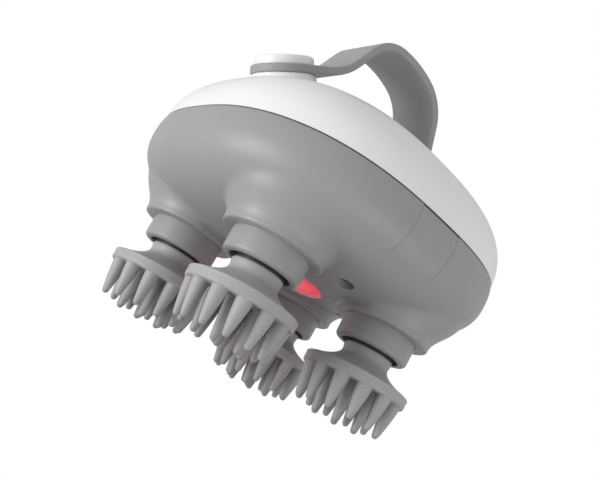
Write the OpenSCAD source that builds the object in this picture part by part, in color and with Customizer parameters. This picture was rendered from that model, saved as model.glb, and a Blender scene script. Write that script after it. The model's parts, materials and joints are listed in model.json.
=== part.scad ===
// Hand-held electric scalp massager: a rounded-square domed body with a finger strap,
// a power button on the shoulder, a red light underneath and four turning massage heads.
// Millimetres, +Z up. The origin is on the surface that the fingertips stand on,
// under the middle of the body. The strap lies along X, with the button at -X.

/* [Body] */
// Width of the body at its widest
body_w = 111.6; // [100:0.2:120]
// Height of the parting line above the surface
seam_z = 58.6; // [54:0.1:64]
// Height of the white dome above the parting line
dome_h = 27.4; // [20:0.5:34]
// Depth of the grey belly below the parting line
belly_h = 25.6; // [22:0.2:30]
// Drop from the parting line to the widest level
bulge_drop = 5; // [2:0.5:8]
// Squareness of the plan
plan_power = 2.57; // [2:0.01:3.2]
// Fullness of the dome's side
dome_power = 2.4; // [2:0.05:3]
// Fullness of the belly's side
belly_power = 2.55; // [2:0.05:3]
// Wall of both shells
wall = 2.2; // [1.6:0.1:2.8]
// Height of the rubber ring between the shells
seam_gap = 0.5; // [0.3:0.1:0.8]
// How far the rubber ring stands back from the surface
seam_recess = 0.5; // [0.2:0.1:1]

/* [Heads] */
// Distance between neighbouring head axes
head_pitch = 49.5; // [46:0.1:54]
// Radius of a head's disc
disc_r = 17; // [15:0.1:19]
// Length of the inner fingers, from the disc down to the surface
finger_len = 13.6; // [10:0.1:15]
// How much shorter the outer fingers are
outer_short = 2; // [0:0.1:3]
// How far an outer finger's tip leans in
outer_lean = 1; // [0:0.1:2]
// Thickness of the disc's edge
disc_edge = 2.3; // [1.6:0.1:3]
// Radius of the neck's waist
waist_r = 7.75; // [7:0.05:8]
// Radius of the neck where it enters the collar
neck_r = 8.24; // [7.9:0.02:8.6]
// Radius of a finger at its root
finger_root_r = 2.2; // [1.8:0.1:2.6]
// Radius of a finger's rounded tip
finger_tip_r = 1.05; // [0.8:0.05:1.4]
// Height worn flat off each fingertip
tip_flat = 0.3; // [0.2:0.05:0.5]
// Fingers in the outer ring
outer_fingers = 12; // [10:1:13]
// Fingers in the inner ring
inner_fingers = 6; // [4:1:7]
// Radius of the inner ring of fingers
inner_ring_r = 7.7; // [6.5:0.1:9]
// Turn of each head at rest, one value a head
head_turns = [22.5, 2, 3, 3]; // [0:0.5:60]

/* [Collars and bosses] */
// Rim radius of the boss under each corner
boss_r = 15.84; // [14.5:0.02:17]
// Drop from the parting line to the boss's rim
boss_drop = 27.1; // [26:0.1:28]
// Outer radius of a collar
collar_r = 12.1; // [11.5:0.05:13]
// Radius of the collar's mouth
mouth_r = 9.5; // [9.2:0.05:10.2]
// Drop from the parting line to the collar's lip
lip_drop = 34.3; // [33:0.1:35]
// Depth of the collar's seat in the boss
seat_depth = 2.4; // [1.5:0.1:3]
// Outer radius of a spindle bush
bush_r = 4.5; // [3.8:0.1:5]
// Radius of a spindle
spindle_r = 2.5; // [2:0.1:3]

/* [Gears] */
// Module of the head gears and the middle gear
head_module = 1; // [1:0.05:1]
// Teeth of a head gear
head_teeth = 24; // [22:1:26]
// Module of the second stage
second_module = 0.75; // [0.6:0.05:0.9]
// Teeth of the second stage's wheel on the middle gear
second_wheel_teeth = 36; // [30:1:40]
// Teeth of the second stage's pinion
second_pinion_teeth = 12; // [11:1:14]
// Teeth of the motor pinion
motor_teeth = 12; // [11:1:14]
// Module of the first stage
first_module = 0.5; // [0.5:0.05:0.5]
// Face of the head gears
head_face = 3.5; // [2.5:0.1:4]
// Face of the second stage's wheel
second_face = 2.5; // [2:0.1:3]
// Face of the first stage's wheel
first_face = 2; // [1.5:0.1:2.5]
// Pressure angle of all teeth
pressure_angle = 25; // [20:1:28]
// Play cut from each gear's teeth at the pitch circle
tooth_play = 0.12; // [0.08:0.01:0.2]
// Thickness of the gear plate and the motor plate
plate_t = 1.5; // [1.2:0.1:2.5]
// Radius of the middle gear's arbor
sun_arbor_r = 2; // [1.5:0.1:2.5]
// Radius of the idler's arbor
idler_arbor_r = 1.5; // [1:0.1:2]

/* [Motor and electrics] */
// Radius of the motor
motor_r = 12; // [10:0.5:13]
// Height of the motor
motor_h = 22; // [18:0.5:23]
// Radius of the motor shaft
motor_shaft_r = 1; // [0.8:0.1:1.5]
// Battery width, thickness and height
battery_size = [38, 8.5, 20]; // [6:0.5:40]
// Control board width, thickness and height
board_size = [34, 1.2, 18]; // [1:0.1:40]
// Charging socket width, depth and height
socket_size = [8.94, 7.35, 3.26]; // [3:0.01:10]
// Wall of the charging socket's metal shell
socket_wall = 0.3; // [0.2:0.05:0.4]
// Radius of the red lens
lens_r = 13.5; // [11:0.1:15]
// Depth of the lens's face in the belly
lens_recess = 0.8; // [0.4:0.1:1.2]

/* [Port cover] */
// Width of the port cover
cover_w = 16.6; // [14:0.2:20]
// Height of the port cover
cover_h = 15.6; // [12:0.2:17]
// Thickness of the port cover
cover_t = 1.6; // [1.2:0.1:2]
// Gap round the port cover
cover_gap = 0.2; // [0.15:0.05:0.4]
// Radius of the cover's hinge pin
cover_pin_r = 0.5; // [0.4:0.05:0.6]
// Depth of the port pocket's back wall behind the body's widest line
pocket_depth = 8.9; // [7:0.1:11]
// Length and depth of the charging board
charge_board_size = [18, 11]; // [8:0.5:24]
// Thickness of the pocket's lining
bezel_t = 1.6; // [1.2:0.1:2.4]

/* [Button] */
// Place of the button seat's middle along X
button_x = -36.9; // [-38:0.1:-35]
// Height of the button seat's middle above the parting line
button_rise = 26.3; // [25:0.1:28]
// Tilt of the button's axis
button_tilt = 34.3; // [30:0.1:38]
// Radius of the button's cap
button_r = 9.43; // [8.8:0.01:9.6]
// Height of the cap above the strap
button_h = 2.75; // [2:0.05:3.5]
// Travel of the button
button_travel = 0.6; // [0.3:0.05:0.8]
// Radius of the button's stem
stem_r = 5.1; // [4.5:0.1:5.3]
// Outer radius of the sleeve that holds the strap
sleeve_r = 7.1; // [6.5:0.1:7.3]

/* [Strap] */
// Width of the strap
strap_w = 21; // [18:0.5:24]
// Thickness of the strap
strap_t = 2.6; // [2:0.1:3.2]
// Straight length from the button's axis
strap_flat = 10.8; // [10.5:0.1:14]
// Radius of the dip beside the button
dip_r = 20.4; // [12:0.1:24]
// Slope of the rising stretch
rise_angle = 67.2; // [60:0.1:75]
// Length of the rising stretch
rise_len = 8.4; // [5:0.1:11]
// Radii of the arch's three bends
arch_r = [12.4, 37.4, 16.2]; // [10:0.1:45]
// Turns of the arch's three bends
arch_turn = [60.3, 22.2, 55.1]; // [20:0.1:70]
// Length of the strap's tail inside the dome
tail_len = 7; // [5:0.5:9]

/* [Fits] */
// Radial clearance of turning and sliding fits
run_gap = 0.06; // [0.02:0.01:0.1]
// Clearance between fixed pieces that seat in each other
seat_gap = 0.05; // [0.02:0.01:0.1]
// Clearance between moving pieces that never touch
free_gap = 0.8; // [0.4:0.1:1.2]
// Radius of the case screws' shanks
screw_r = 1.4; // [1.2:0.1:1.6]
// Radius of the case screws' heads
screw_head_r = 2.7; // [2.4:0.1:2.9]
// Distance of the case screws from the middle
screw_ring_r = 28.5; // [27.5:0.1:29.5]

/* [Hidden] */
HEADS = [for (i = [1 : 4]) i];
$fn = 64;
eps = 0.01;

// Colours
white_c = [0.93, 0.93, 0.94];
grey_c = [0.55, 0.55, 0.56];
soft_c = [0.47, 0.47, 0.48];
dark_c = [0.16, 0.16, 0.17];
steel_c = [0.72, 0.73, 0.75];
red_c = [1, 0.33, 0.37];
board_c = [0.1, 0.38, 0.22];
gear_c = [0.9, 0.88, 0.82];

// Body
segments = 48;
belly_half = body_w / 2;
belly_depth = belly_h - bulge_drop;
function round_off(t, power) = pow(max(0, 1 - pow(abs(t), power)), 1 / power);
seam_half = belly_half * round_off(bulge_drop / belly_depth, belly_power);
// Half width of the belly at a depth below the parting line, inside an inset
function belly_at(depth, inset = 0) =
    (belly_half - inset) * round_off((depth - bulge_drop) / (belly_depth - inset), belly_power);
// Half width of the dome at a height above the parting line, inside an inset
function dome_at(height, inset = 0) =
    (seam_half - inset) * round_off(height / (dome_h - inset), dome_power);
// Half width of the rounded square through a point of the plan
function reach(x, y) = pow(pow(abs(x), plan_power) + pow(abs(y), plan_power), 1 / plan_power);
// Height of the dome above the parting line over a point of the plan
function dome_top(x, y, inset = 0) =
    (dome_h - inset) * round_off(reach(x, y) / (seam_half - inset), dome_power);
// Depth of the belly below the parting line under a point of the plan
function belly_low(x, y, inset = 0) = bulge_drop
    + (belly_depth - inset) * round_off(reach(x, y) / (belly_half - inset), belly_power);
function section_r(a) =
    pow(pow(abs(cos(a)), plan_power) + pow(abs(sin(a)), plan_power), -1 / plan_power);
function section_points(half) =
    [for (i = [0 : segments - 1]) let (a = 360 * i / segments)
        half * section_r(a) * [cos(a), sin(a)]];

// Heads
head_ring_r = head_pitch / sqrt(2);
function head_x(i) = [-1, -1, 1, 1][i - 1] * head_pitch / 2;
function head_y(i) = [1, -1, -1, 1][i - 1] * head_pitch / 2;
function head_dir(i) = [135, 225, 315, 45][i - 1];
disc_z = finger_len;
disc_top_z = disc_z + disc_edge;
boss_z = seam_z - boss_drop;
lip_z = seam_z - lip_drop;
waist_z = disc_z + 7.4;
neck_top_z = lip_z + 2.5;
core_top_z = neck_top_z + 2;
core_stem_r = 5.5;
core_disc_r = 13;
core_disc_t = 1.2;
outer_ring_r = disc_r - finger_root_r - 0.3;

// Collars, bosses and bushes
seat_z = boss_z + seat_depth;
hub_top_z = boss_z + 8.6;
hub_r = bush_r + 2.6;
bush_low_z = seat_z - 1.5;
seal_z = lip_z + 2.6;
seal_h = 1.6;

// Plates and gears, from the belly upwards
plate_z = hub_top_z;
gear_z = plate_z + plate_t + free_gap;
second_z = gear_z + head_face;
pinion_z = second_z + 0.3;
first_z = second_z + second_face + 0.5;
motor_plate_z = first_z + first_face + 1.3;
motor_z = motor_plate_z + plate_t;
sun_teeth = round(2 * head_ring_r / head_module) - head_teeth;
idler_reach = second_module * (second_wheel_teeth + second_pinion_teeth) / 2;
first_teeth = round(2 * idler_reach / first_module) - motor_teeth;
idler_dir = 45;
idler_x = idler_reach * cos(idler_dir);
idler_y = idler_reach * sin(idler_dir);
plate_r = screw_ring_r + 4.5;

// Gears: turn of each gear that puts it in mesh, tooth against gap
function mesh_turn(dir, teeth, turn, other) =
    let (pitch = 360 / teeth, lag = (dir - turn) - pitch * floor((dir - turn) / pitch))
        dir + 180 + 180 / other + lag * teeth / other;
second_turn = mesh_turn(idler_dir, second_wheel_teeth, 0, second_pinion_teeth);
first_turn = second_turn;
motor_turn = mesh_turn(idler_dir + 180, first_teeth, first_turn, motor_teeth);

// Button: w is the distance along its axis above the strap's seat
seat_x = button_x;
seat_rise = seam_z + button_rise;
ring_r = strap_w / 2;
ledge_w = strap_t - 1;
flange_t = 0.8;
flange_r = sleeve_r + 1;
skirt_inner_r = flange_r + 0.2;
cap_low_w = strap_t - 0.15;
cap_top_w = strap_t + button_h;
stem_low_w = -5;
switch_top_w = stem_low_w - 3;
switch_h = 3.5;
board_w = switch_top_w - switch_h;
cup_r = sleeve_r + 2.4;
pedestal_top_r = ring_r - 0.5;
pedestal_low_r = ring_r + 1.6;

// Strap path in the XZ plane, as stretches of [length, turn]
function arc_len(r, turn) = r * turn * PI / 180;
strap_path = [
    [strap_flat, 0],
    [arc_len(dip_r, rise_angle - button_tilt), rise_angle - button_tilt],
    [rise_len, 0],
    [arc_len(arch_r[0], arch_turn[0]), -arch_turn[0]],
    [arc_len(arch_r[1], arch_turn[1]), -arch_turn[1]],
    [arc_len(arch_r[2], arch_turn[2]), -arch_turn[2]]];
// Point and heading after a length s of one stretch that starts at p with a heading
function along(p, heading, stretch, s) =
    let (turned = stretch[1] * s / stretch[0], mid = heading + turned / 2,
         half = turned / 2, chord = turned == 0 ? s : s * sin(half) / (half * PI / 180))
        [p[0] + chord * cos(mid), p[1] + chord * sin(mid), heading + turned];
function stretch_start(i) = i == 0
    ? [seat_x - strap_t / 2 * sin(button_tilt), seat_rise + strap_t / 2 * cos(button_tilt),
       button_tilt]
    : let (b = stretch_start(i - 1)) along([b[0], b[1]], b[2], strap_path[i - 1], strap_path[i - 1][0]);
arch_end = stretch_start(len(strap_path));
// Length of the last straight stretch down to the dome, by halving
function inside_dome(s) = let (q = along([arch_end[0], arch_end[1]], arch_end[2], [1, 0], s))
    q[1] - seam_z < dome_top(q[0], 0);
function reach_dome(low, high, n) = n == 0 ? (low + high) / 2
    : let (m = (low + high) / 2) inside_dome(m) ? reach_dome(low, m, n - 1) : reach_dome(m, high, n - 1);
drop_len = reach_dome(0, 60, 20);
slot_at = along([arch_end[0], arch_end[1]], arch_end[2], [1, 0], drop_len);
full_path = concat(strap_path, [[drop_len + tail_len, 0]]);
path_steps = 7;
path_points = [for (i = [0 : len(full_path) - 1]) let (b = stretch_start(i))
    for (k = [0 : path_steps]) if (k < path_steps || i == len(full_path) - 1)
        along([b[0], b[1]], b[2], full_path[i], full_path[i][0] * k / path_steps)];
bead_r = strap_t / 2 + 0.9;

// Port cover
cover_top_z = seam_z - seam_gap / 2 - cover_gap;
cover_low_z = cover_top_z - cover_h;
socket_z = seam_z - 9.6;
knuckle_r = cover_pin_r + 0.5;
cover_axis_z = cover_low_z + knuckle_r;
cover_axis_y = -belly_at(seam_z - cover_axis_z) + 1.15 * knuckle_r;
cover_pin_len = cover_w + 2 * cover_gap + 2.8;
pocket_y = belly_half - pocket_depth;
// Place along Y of the charging board's inner end
charge_board_end = charge_board_size[1] + 1.7 - pocket_y;
// Radius about the hinge that the cover's inner edge sweeps, and some more
swing_r = norm([cover_t, knuckle_r]) + 0.35;

// A closed solid through levels of [half width, height] with the rounded-square plan
module loft(levels) {
    rings = len(levels);
    points = [for (l = levels) for (q = section_points(l[0])) [q[0], q[1], l[1]]];
    sides = [for (j = [0 : rings - 2]) for (i = [0 : segments - 1])
        let (a = j * segments + i, b = j * segments + (i + 1) % segments)
            each [[a, a + segments, b + segments], [a, b + segments, b]]];
    low_cap = [for (i = [0 : segments - 1]) i];
    high_cap = [for (i = [0 : segments - 1]) rings * segments - 1 - i];
    polyhedron(points, concat(sides, [low_cap, high_cap]), convexity = 6);
}

// Levels of the dome and of the belly, both inside an inset
function level_share(i, n) = pow(sin(90 * i / n), 0.8);
function dome_levels(inset, low, n) =
    [for (i = [0 : n]) let (h = low + (dome_h - inset - low) * level_share(i, n) * 0.9995)
        [dome_at(h, inset), seam_z + h]];
function belly_levels(inset, high, n) = let (deepest = belly_h - inset)
    [for (i = [n : -1 : 0])
        let (d = high + (deepest - high) * level_share(i, n) * 0.9995)
            [belly_at(d, inset), seam_z - d]];

// Involute gear outline
function involute_deg(a) = tan(a) * 180 / PI - a;
function flank_deg(r, pitch_r, base_r, teeth) =
    90 / teeth - tooth_play / 2 / pitch_r * 180 / PI + involute_deg(pressure_angle)
        - involute_deg(acos(min(1, base_r / max(r, base_r))));
module gear_outline(module_size, teeth) {
    pitch_r = module_size * teeth / 2;
    base_r = pitch_r * cos(pressure_angle);
    tip_r = pitch_r + 0.8 * module_size;
    root_r = pitch_r - 1.1 * module_size;
    low_r = max(root_r + 0.02, min(base_r, pitch_r - 0.5 * module_size));
    radii = [root_r, low_r, (low_r + pitch_r) / 2, pitch_r, (pitch_r + tip_r) / 2, tip_r];
    last = len(radii) - 1;
    polygon([for (k = [0 : teeth - 1]) each concat(
        [for (j = [0 : last]) let (a = 360 * k / teeth - flank_deg(radii[j], pitch_r, base_r, teeth))
            radii[j] * [cos(a), sin(a)]],
        [for (j = [last : -1 : 0]) let (a = 360 * k / teeth + flank_deg(radii[j], pitch_r, base_r, teeth))
            radii[j] * [cos(a), sin(a)]])]);
}
module gear(module_size, teeth, face) {
    linear_extrude(face) gear_outline(module_size, teeth);
}

module ring(outer, inner, height) {
    difference() {
        cylinder(r = outer, h = height);
        translate([0, 0, -1]) cylinder(r = inner, h = height + 2);
    }
}

// Points of an arc, for outlines turned about an axis
function arc(cx, cy, r, from, to, n = 8) =
    [for (i = [0 : n]) let (a = from + (to - from) * i / n) [cx + r * cos(a), cy + r * sin(a)]];

module at_head(i) {
    translate([head_x(i), head_y(i), 0]) children();
}
module at_screw(i) {
    rotate(90 * (i - 1)) translate([screw_ring_r, 0, 0]) children();
}
// Frame whose Z is the button's axis and whose origin is the strap's seat
module at_button() {
    translate([seat_x, 0, seat_rise]) rotate([0, -button_tilt, 0]) children();
}
// Frame whose Z points out of the dome along the strap where it goes in
module at_slot() {
    translate([slot_at[0], 0, slot_at[1]]) rotate([0, -90 - slot_at[2], 0]) rotate(180) children();
}

post_r = 4;
post_x = 0;
module top_shell() {
    color(white_c) difference() {
        union() {
            difference() {
                union() {
                    loft(dome_levels(0, seam_gap / 2, 12));
                    at_button() translate([0, 0, -9])
                        cylinder(r1 = pedestal_low_r, r2 = pedestal_top_r, h = 9);
                }
                translate([0, 0, -eps]) loft(dome_levels(wall, seam_gap / 2 - 1, 10));
            }
            at_button() translate([0, 0, board_w]) cylinder(r = cup_r, h = -board_w - 3);
            for (s = [-1, 1]) translate([post_x, s * screw_ring_r, motor_z])
                cylinder(r = post_r, h = seam_z + dome_top(0, screw_ring_r, wall / 2) - motor_z);
        }
        at_button() translate([0, 0, board_w - 1])
            cylinder(r = sleeve_r + seat_gap, h = -board_w + 10);
        for (s = [-1, 1]) translate([post_x, s * screw_ring_r, motor_z - 1])
            cylinder(r = screw_r + seat_gap, h = 13);
        at_slot() translate([-strap_t / 2 - 0.4, -strap_w / 2 - 0.4, -8])
            cube([strap_t + 0.8, strap_w + 0.8, 12]);
    }
}

boss_round = 1.3;
// Steps out and up from the boss's rim, where it spreads into the belly
boss_flare = [[0.05, 2], [0.25, 2.7], [0.6, 3.6], [1.2, 4.8], [2, 6], [3.1, 7.3], [4.3, 8.6],
    [5.3, 10], [5.9, 11.6], [5.9, 14]];
module boss() {
    rotate_extrude() polygon(concat(
        [[0, boss_z + 14], [0, boss_z]],
        arc(boss_r - boss_round, boss_z + boss_round, boss_round, -90, 0, 5),
        [for (q = boss_flare) [boss_r + q[0], boss_z + q[1]]]));
}
lens_seat_z = seam_z - belly_h + lens_recess + 0.8;
lens_ledge_r = lens_r - 2;
screw_seat_z = hub_top_z - 1.3;
shelf_z = socket_z - socket_size[2] / 2 - 1;
// Foot of the ribs under the charging board, inside the belly's wall
rib_low_z = seam_z - belly_low(charge_board_size[0] / 2, -pocket_y + 1.7, wall / 2);
module bottom_shell() {
    color(grey_c) difference() {
        union() {
            difference() {
                union() {
                    loft(belly_levels(0, seam_gap / 2, 14));
                    for (i = HEADS) at_head(i) boss();
                }
                translate([0, 0, eps]) loft(belly_levels(wall, seam_gap / 2 - 1, 12));
            }
            for (i = HEADS) at_head(i) translate([0, 0, seat_z + 1])
                cylinder(r = hub_r, h = hub_top_z - seat_z - 1);
            for (i = HEADS) at_screw(i)
                translate([0, 0, seam_z - belly_low(screw_ring_r, 0, wall / 2)])
                    cylinder(r = 4, h = hub_top_z - seam_z + belly_low(screw_ring_r, 0, wall / 2));
            translate([0, 0, seam_z - belly_h + wall / 2])
                ring(lens_r + 0.2, lens_ledge_r, wall / 2 + 1.3);
            for (s = [-1, 1])
                translate([s * (charge_board_size[0] / 2 - 1.5) - 1.2, -pocket_y + 1.7, rib_low_z])
                    cube([2.4, charge_board_size[1] - 2, shelf_z - 1 - rib_low_z]);
        }
        for (i = HEADS) at_head(i) {
            translate([0, 0, boss_z - 1]) cylinder(r = collar_r + seat_gap, h = seat_depth + 1);
            translate([0, 0, boss_z]) cylinder(r = bush_r + seat_gap, h = hub_top_z);
        }
        translate([0, 0, seam_z - belly_h - 1])
            cylinder(r = lens_r + seat_gap, h = lens_seat_z - seam_z + belly_h + 1);
        translate([0, 0, seam_z - belly_h]) cylinder(r = lens_ledge_r + seat_gap, h = wall + 4);
        for (i = HEADS) at_screw(i) {
            translate([0, 0, boss_z - 1]) cylinder(r = screw_head_r + 0.2, h = screw_seat_z - boss_z + 1);
            translate([0, 0, seam_z - belly_h]) cylinder(r = screw_r + 0.1, h = 12);
        }
        translate([-cover_w / 2 - cover_gap, -belly_half - 1, cover_low_z - cover_gap])
            cube([cover_w + 2 * cover_gap, pocket_depth + 1.9, cover_h + 2 * cover_gap]);
        translate([-cover_pin_len / 2 - 0.1, cover_axis_y, cover_axis_z]) rotate([0, 90, 0])
            cylinder(r = cover_pin_r + seat_gap / 2, h = cover_pin_len + 0.2);
    }
}

module seam_gasket() {
    color(dark_c) translate([0, 0, seam_z - seam_gap / 2]) linear_extrude(seam_gap) difference() {
        polygon(section_points(seam_half - seam_recess));
        polygon(section_points(seam_half - wall));
    }
}

module strap_band() {
    count = len(path_points) - 1;
    rotate([90, 0, 0]) linear_extrude(strap_w, center = true) polygon(concat(
        [for (i = [0 : count]) let (q = path_points[i])
            [q[0] - strap_t / 2 * sin(q[2]), q[1] + strap_t / 2 * cos(q[2])]],
        [for (i = [count : -1 : 0]) let (q = path_points[i])
            [q[0] + strap_t / 2 * sin(q[2]), q[1] - strap_t / 2 * cos(q[2])]]));
}
tail_end = path_points[len(path_points) - 1];
module strap() {
    color(soft_c) difference() {
        union() {
            strap_band();
            at_button() cylinder(r = ring_r, h = strap_t);
            translate([tail_end[0], 0, tail_end[1]]) rotate([90, 0, 0])
                cylinder(r = bead_r, h = strap_w, center = true);
        }
        at_button() translate([0, 0, -1]) cylinder(r = sleeve_r + 0.1, h = strap_t + 2);
        at_button() translate([0, 0, ledge_w]) cylinder(r = button_r + 0.32, h = 3);
    }
}

clip_t = 1.4;
module strap_clip() {
    half = bead_r + clip_t;
    color(soft_c) difference() {
        intersection() {
            translate([0, 0, -seat_gap - eps]) loft(dome_levels(wall, seam_gap / 2 - 1, 10));
            at_slot() translate([-half, -strap_w / 2 - 2, -tail_len - half])
                cube([2 * half, strap_w + 4, tail_len + half]);
        }
        at_slot() translate([0, strap_w / 2 + 3, -tail_len]) rotate([90, 0, 0])
            cylinder(r = bead_r + seat_gap, h = strap_w + 3 + seat_gap);
        at_slot() translate([-strap_t / 2 - 0.4, -strap_w / 2 - seat_gap, -tail_len])
            cube([strap_t + 0.8, strap_w + 4, tail_len + 4]);
    }
}

module button_sleeve() {
    color(white_c) at_button() difference() {
        union() {
            translate([0, 0, stem_low_w - 1.5]) cylinder(r = sleeve_r, h = ledge_w - stem_low_w + 1.5);
            translate([0, 0, ledge_w]) cylinder(r = flange_r, h = flange_t);
        }
        translate([0, 0, stem_low_w - 3]) cylinder(r = stem_r + run_gap, h = 14);
    }
}

cap_round = 0.8;
nub_r = 1.5;
plunger_depth = 1.8;
module power_button() {
    color(white_c) at_button() rotate_extrude() polygon(concat(
        [[0, switch_top_w], [nub_r, switch_top_w], [nub_r, stem_low_w],
         [stem_r, stem_low_w], [stem_r, cap_top_w - 1.55], [skirt_inner_r, cap_top_w - 1.55],
         [skirt_inner_r, cap_low_w], [button_r, cap_low_w]],
        arc(button_r - cap_round, cap_top_w - cap_round, cap_round, 0, 90, 5),
        [[0, cap_top_w + 0.12]]));
}

module tact_switch() {
    color(dark_c) at_button() translate([0, 0, board_w]) difference() {
        translate([-3.1, -3.1, 0]) cube([6.2, 6.2, switch_h - 0.9]);
        translate([0, 0, switch_h - 0.9 - plunger_depth]) cylinder(r = nub_r + run_gap, h = switch_h);
    }
}

module switch_plunger() {
    plunger_w = board_w + switch_h - 0.9 - plunger_depth + button_travel + 0.1;
    color(dark_c) at_button() translate([0, 0, plunger_w])
        cylinder(r = nub_r, h = plunger_depth + 0.9 - button_travel - 0.1);
}

board_t = 1.2;
module button_board() {
    color(board_c) at_button() translate([0, 0, board_w - board_t]) cylinder(r = cup_r, h = board_t);
}

module light_lens() {
    color(red_c) translate([0, 0, lens_seat_z]) {
        translate([0, 0, -0.8]) cylinder(r = lens_r, h = 0.8);
        cylinder(r = lens_ledge_r, h = 0.8);
    }
}

light_board_z = seam_z - belly_h + wall + 1.3;
led_ring_r = 7;
module light_board() {
    color(board_c) translate([0, 0, light_board_z]) {
        cylinder(r = lens_r, h = 1);
        for (i = HEADS) rotate(90 * i) translate([led_ring_r - 1.4, -1.4, -0.8]) cube([2.8, 2.8, 0.8]);
    }
}

module gear_plate() {
    color(grey_c) translate([0, 0, plate_z]) linear_extrude(plate_t) difference() {
        union() {
            circle(r = plate_r);
            for (i = HEADS) translate([head_x(i), head_y(i)]) circle(r = hub_r);
        }
        for (i = HEADS) translate([head_x(i), head_y(i)]) circle(r = spindle_r + run_gap);
        for (i = HEADS) rotate(90 * i) translate([screw_ring_r, 0]) circle(r = screw_r + 0.1);
        circle(r = sun_arbor_r + seat_gap / 2);
    }
}

module sun_arbor() {
    color(steel_c) translate([0, 0, plate_z]) {
        cylinder(r = sun_arbor_r, h = first_z - 0.3 - plate_z);
        translate([0, 0, -1]) cylinder(r = sun_arbor_r + 1.5, h = 1);
    }
}

module sun_gear() {
    color(gear_c) difference() {
        union() {
            translate([0, 0, gear_z]) gear(head_module, sun_teeth, head_face);
            translate([0, 0, second_z]) gear(second_module, second_wheel_teeth, second_face);
            translate([0, 0, plate_z + plate_t + 0.1]) cylinder(r = 4, h = free_gap);
        }
        translate([0, 0, plate_z]) cylinder(r = sun_arbor_r + run_gap, h = 20);
        for (i = HEADS) rotate(90 * i) translate([18.2, 0, plate_z]) cylinder(r = 3, h = 20);
    }
}

module idler_arbor() {
    color(steel_c) translate([idler_x, idler_y, pinion_z - 0.1])
        cylinder(r = idler_arbor_r, h = motor_z - pinion_z + 0.1);
}

module idler_gear() {
    color(gear_c) translate([idler_x, idler_y, 0]) difference() {
        union() {
            translate([0, 0, pinion_z]) rotate(second_turn)
                gear(second_module, second_pinion_teeth, first_z - pinion_z);
            translate([0, 0, first_z]) rotate(first_turn) gear(first_module, first_teeth, first_face);
        }
        translate([0, 0, plate_z]) cylinder(r = idler_arbor_r + run_gap, h = 20);
    }
}

module motor() {
    color(steel_c) difference() {
        union() {
            translate([0, 0, motor_z]) cylinder(r = motor_r, h = motor_h);
            translate([0, 0, motor_z + motor_h]) cylinder(r = 4, h = 1.2);
            translate([0, 0, motor_plate_z]) cylinder(r = 3.5, h = plate_t + 1);
        }
        translate([0, 0, motor_plate_z - 1]) cylinder(r = motor_shaft_r + run_gap, h = 12);
    }
}

module motor_pinion() {
    color(steel_c) {
        translate([0, 0, first_z + 0.1]) rotate(motor_turn) gear(first_module, motor_teeth, first_face + 0.2);
        translate([0, 0, first_z + 0.2]) cylinder(r = motor_shaft_r, h = motor_z + 8 - first_z);
    }
}

leg_r = 3.2;
module motor_plate() {
    color(grey_c) difference() {
        union() {
            translate([0, 0, motor_plate_z]) cylinder(r = plate_r, h = plate_t);
            for (i = HEADS) at_screw(i) translate([0, 0, plate_z + plate_t])
                cylinder(r = leg_r, h = motor_plate_z - plate_z - plate_t + 0.5);
        }
        for (i = HEADS) at_screw(i) translate([0, 0, plate_z]) cylinder(r = screw_r + seat_gap, h = 30);
        translate([0, 0, motor_plate_z - 1]) cylinder(r = 3.5 + seat_gap, h = plate_t + 2);
        translate([idler_x, idler_y, motor_plate_z - 1])
            cylinder(r = idler_arbor_r + seat_gap / 2, h = plate_t + 2);
        translate([-charge_board_size[0] / 2 - run_gap, -belly_half, motor_plate_z - 1])
            cube([charge_board_size[0] + 2 * run_gap, charge_board_end + belly_half + run_gap, plate_t + 2]);
    }
}

battery_y = motor_r + 1.5;
tray_t = 1;
module battery() {
    color([0.75, 0.77, 0.8]) translate([-battery_size[0] / 2, battery_y, motor_z + tray_t])
        cube(battery_size);
}

module battery_tray() {
    color(dark_c) translate([-battery_size[0] / 2 - tray_t - 0.1, battery_y - 0.2, motor_z]) difference() {
        cube([battery_size[0] + 2 * tray_t + 0.2, battery_size[1] + tray_t + 0.4, 9]);
        translate([tray_t, -1, tray_t]) cube([battery_size[0] + 0.2, battery_size[1] + 1.4, 9]);
    }
}

board_y = -motor_r - 2.5;
module control_board() {
    color(board_c) translate([-board_size[0] / 2, board_y - board_size[1], motor_z]) cube(board_size);
    color(dark_c) {
        translate([-6, board_y - board_size[1] - 1.4, motor_z + 6]) cube([8, 1.4, 8]);
        translate([6, board_y - board_size[1] - 2.2, motor_z + 5]) cube([5, 2.2, 4]);
        translate([-14, board_y - board_size[1] - 3, motor_z + 2]) cube([5, 3, 7]);
    }
}

module charging_socket() {
    color(steel_c) translate([0, -pocket_y, socket_z]) rotate([-90, 0, 0]) difference() {
        stadium(socket_size[0], socket_size[2], socket_size[1]);
        translate([0, 0, -1]) stadium(socket_size[0] - 2 * socket_wall, socket_size[2] - 2 * socket_wall,
            socket_size[1] - 1);
    }
    color(dark_c) translate([-3.3, -pocket_y + 1.6, socket_z - 0.35]) cube([6.6, socket_size[1] - 2.5, 0.7]);
}
module stadium(w, h, depth) {
    linear_extrude(depth) {
        square([w - h, h], center = true);
        for (s = [-1, 1]) translate([s * (w - h) / 2, 0]) circle(d = h);
    }
}

module charge_board() {
    color(board_c) translate([-charge_board_size[0] / 2, -pocket_y + 1.7, shelf_z - 1])
        cube([charge_board_size[0], charge_board_size[1], 1]);
}

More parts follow.
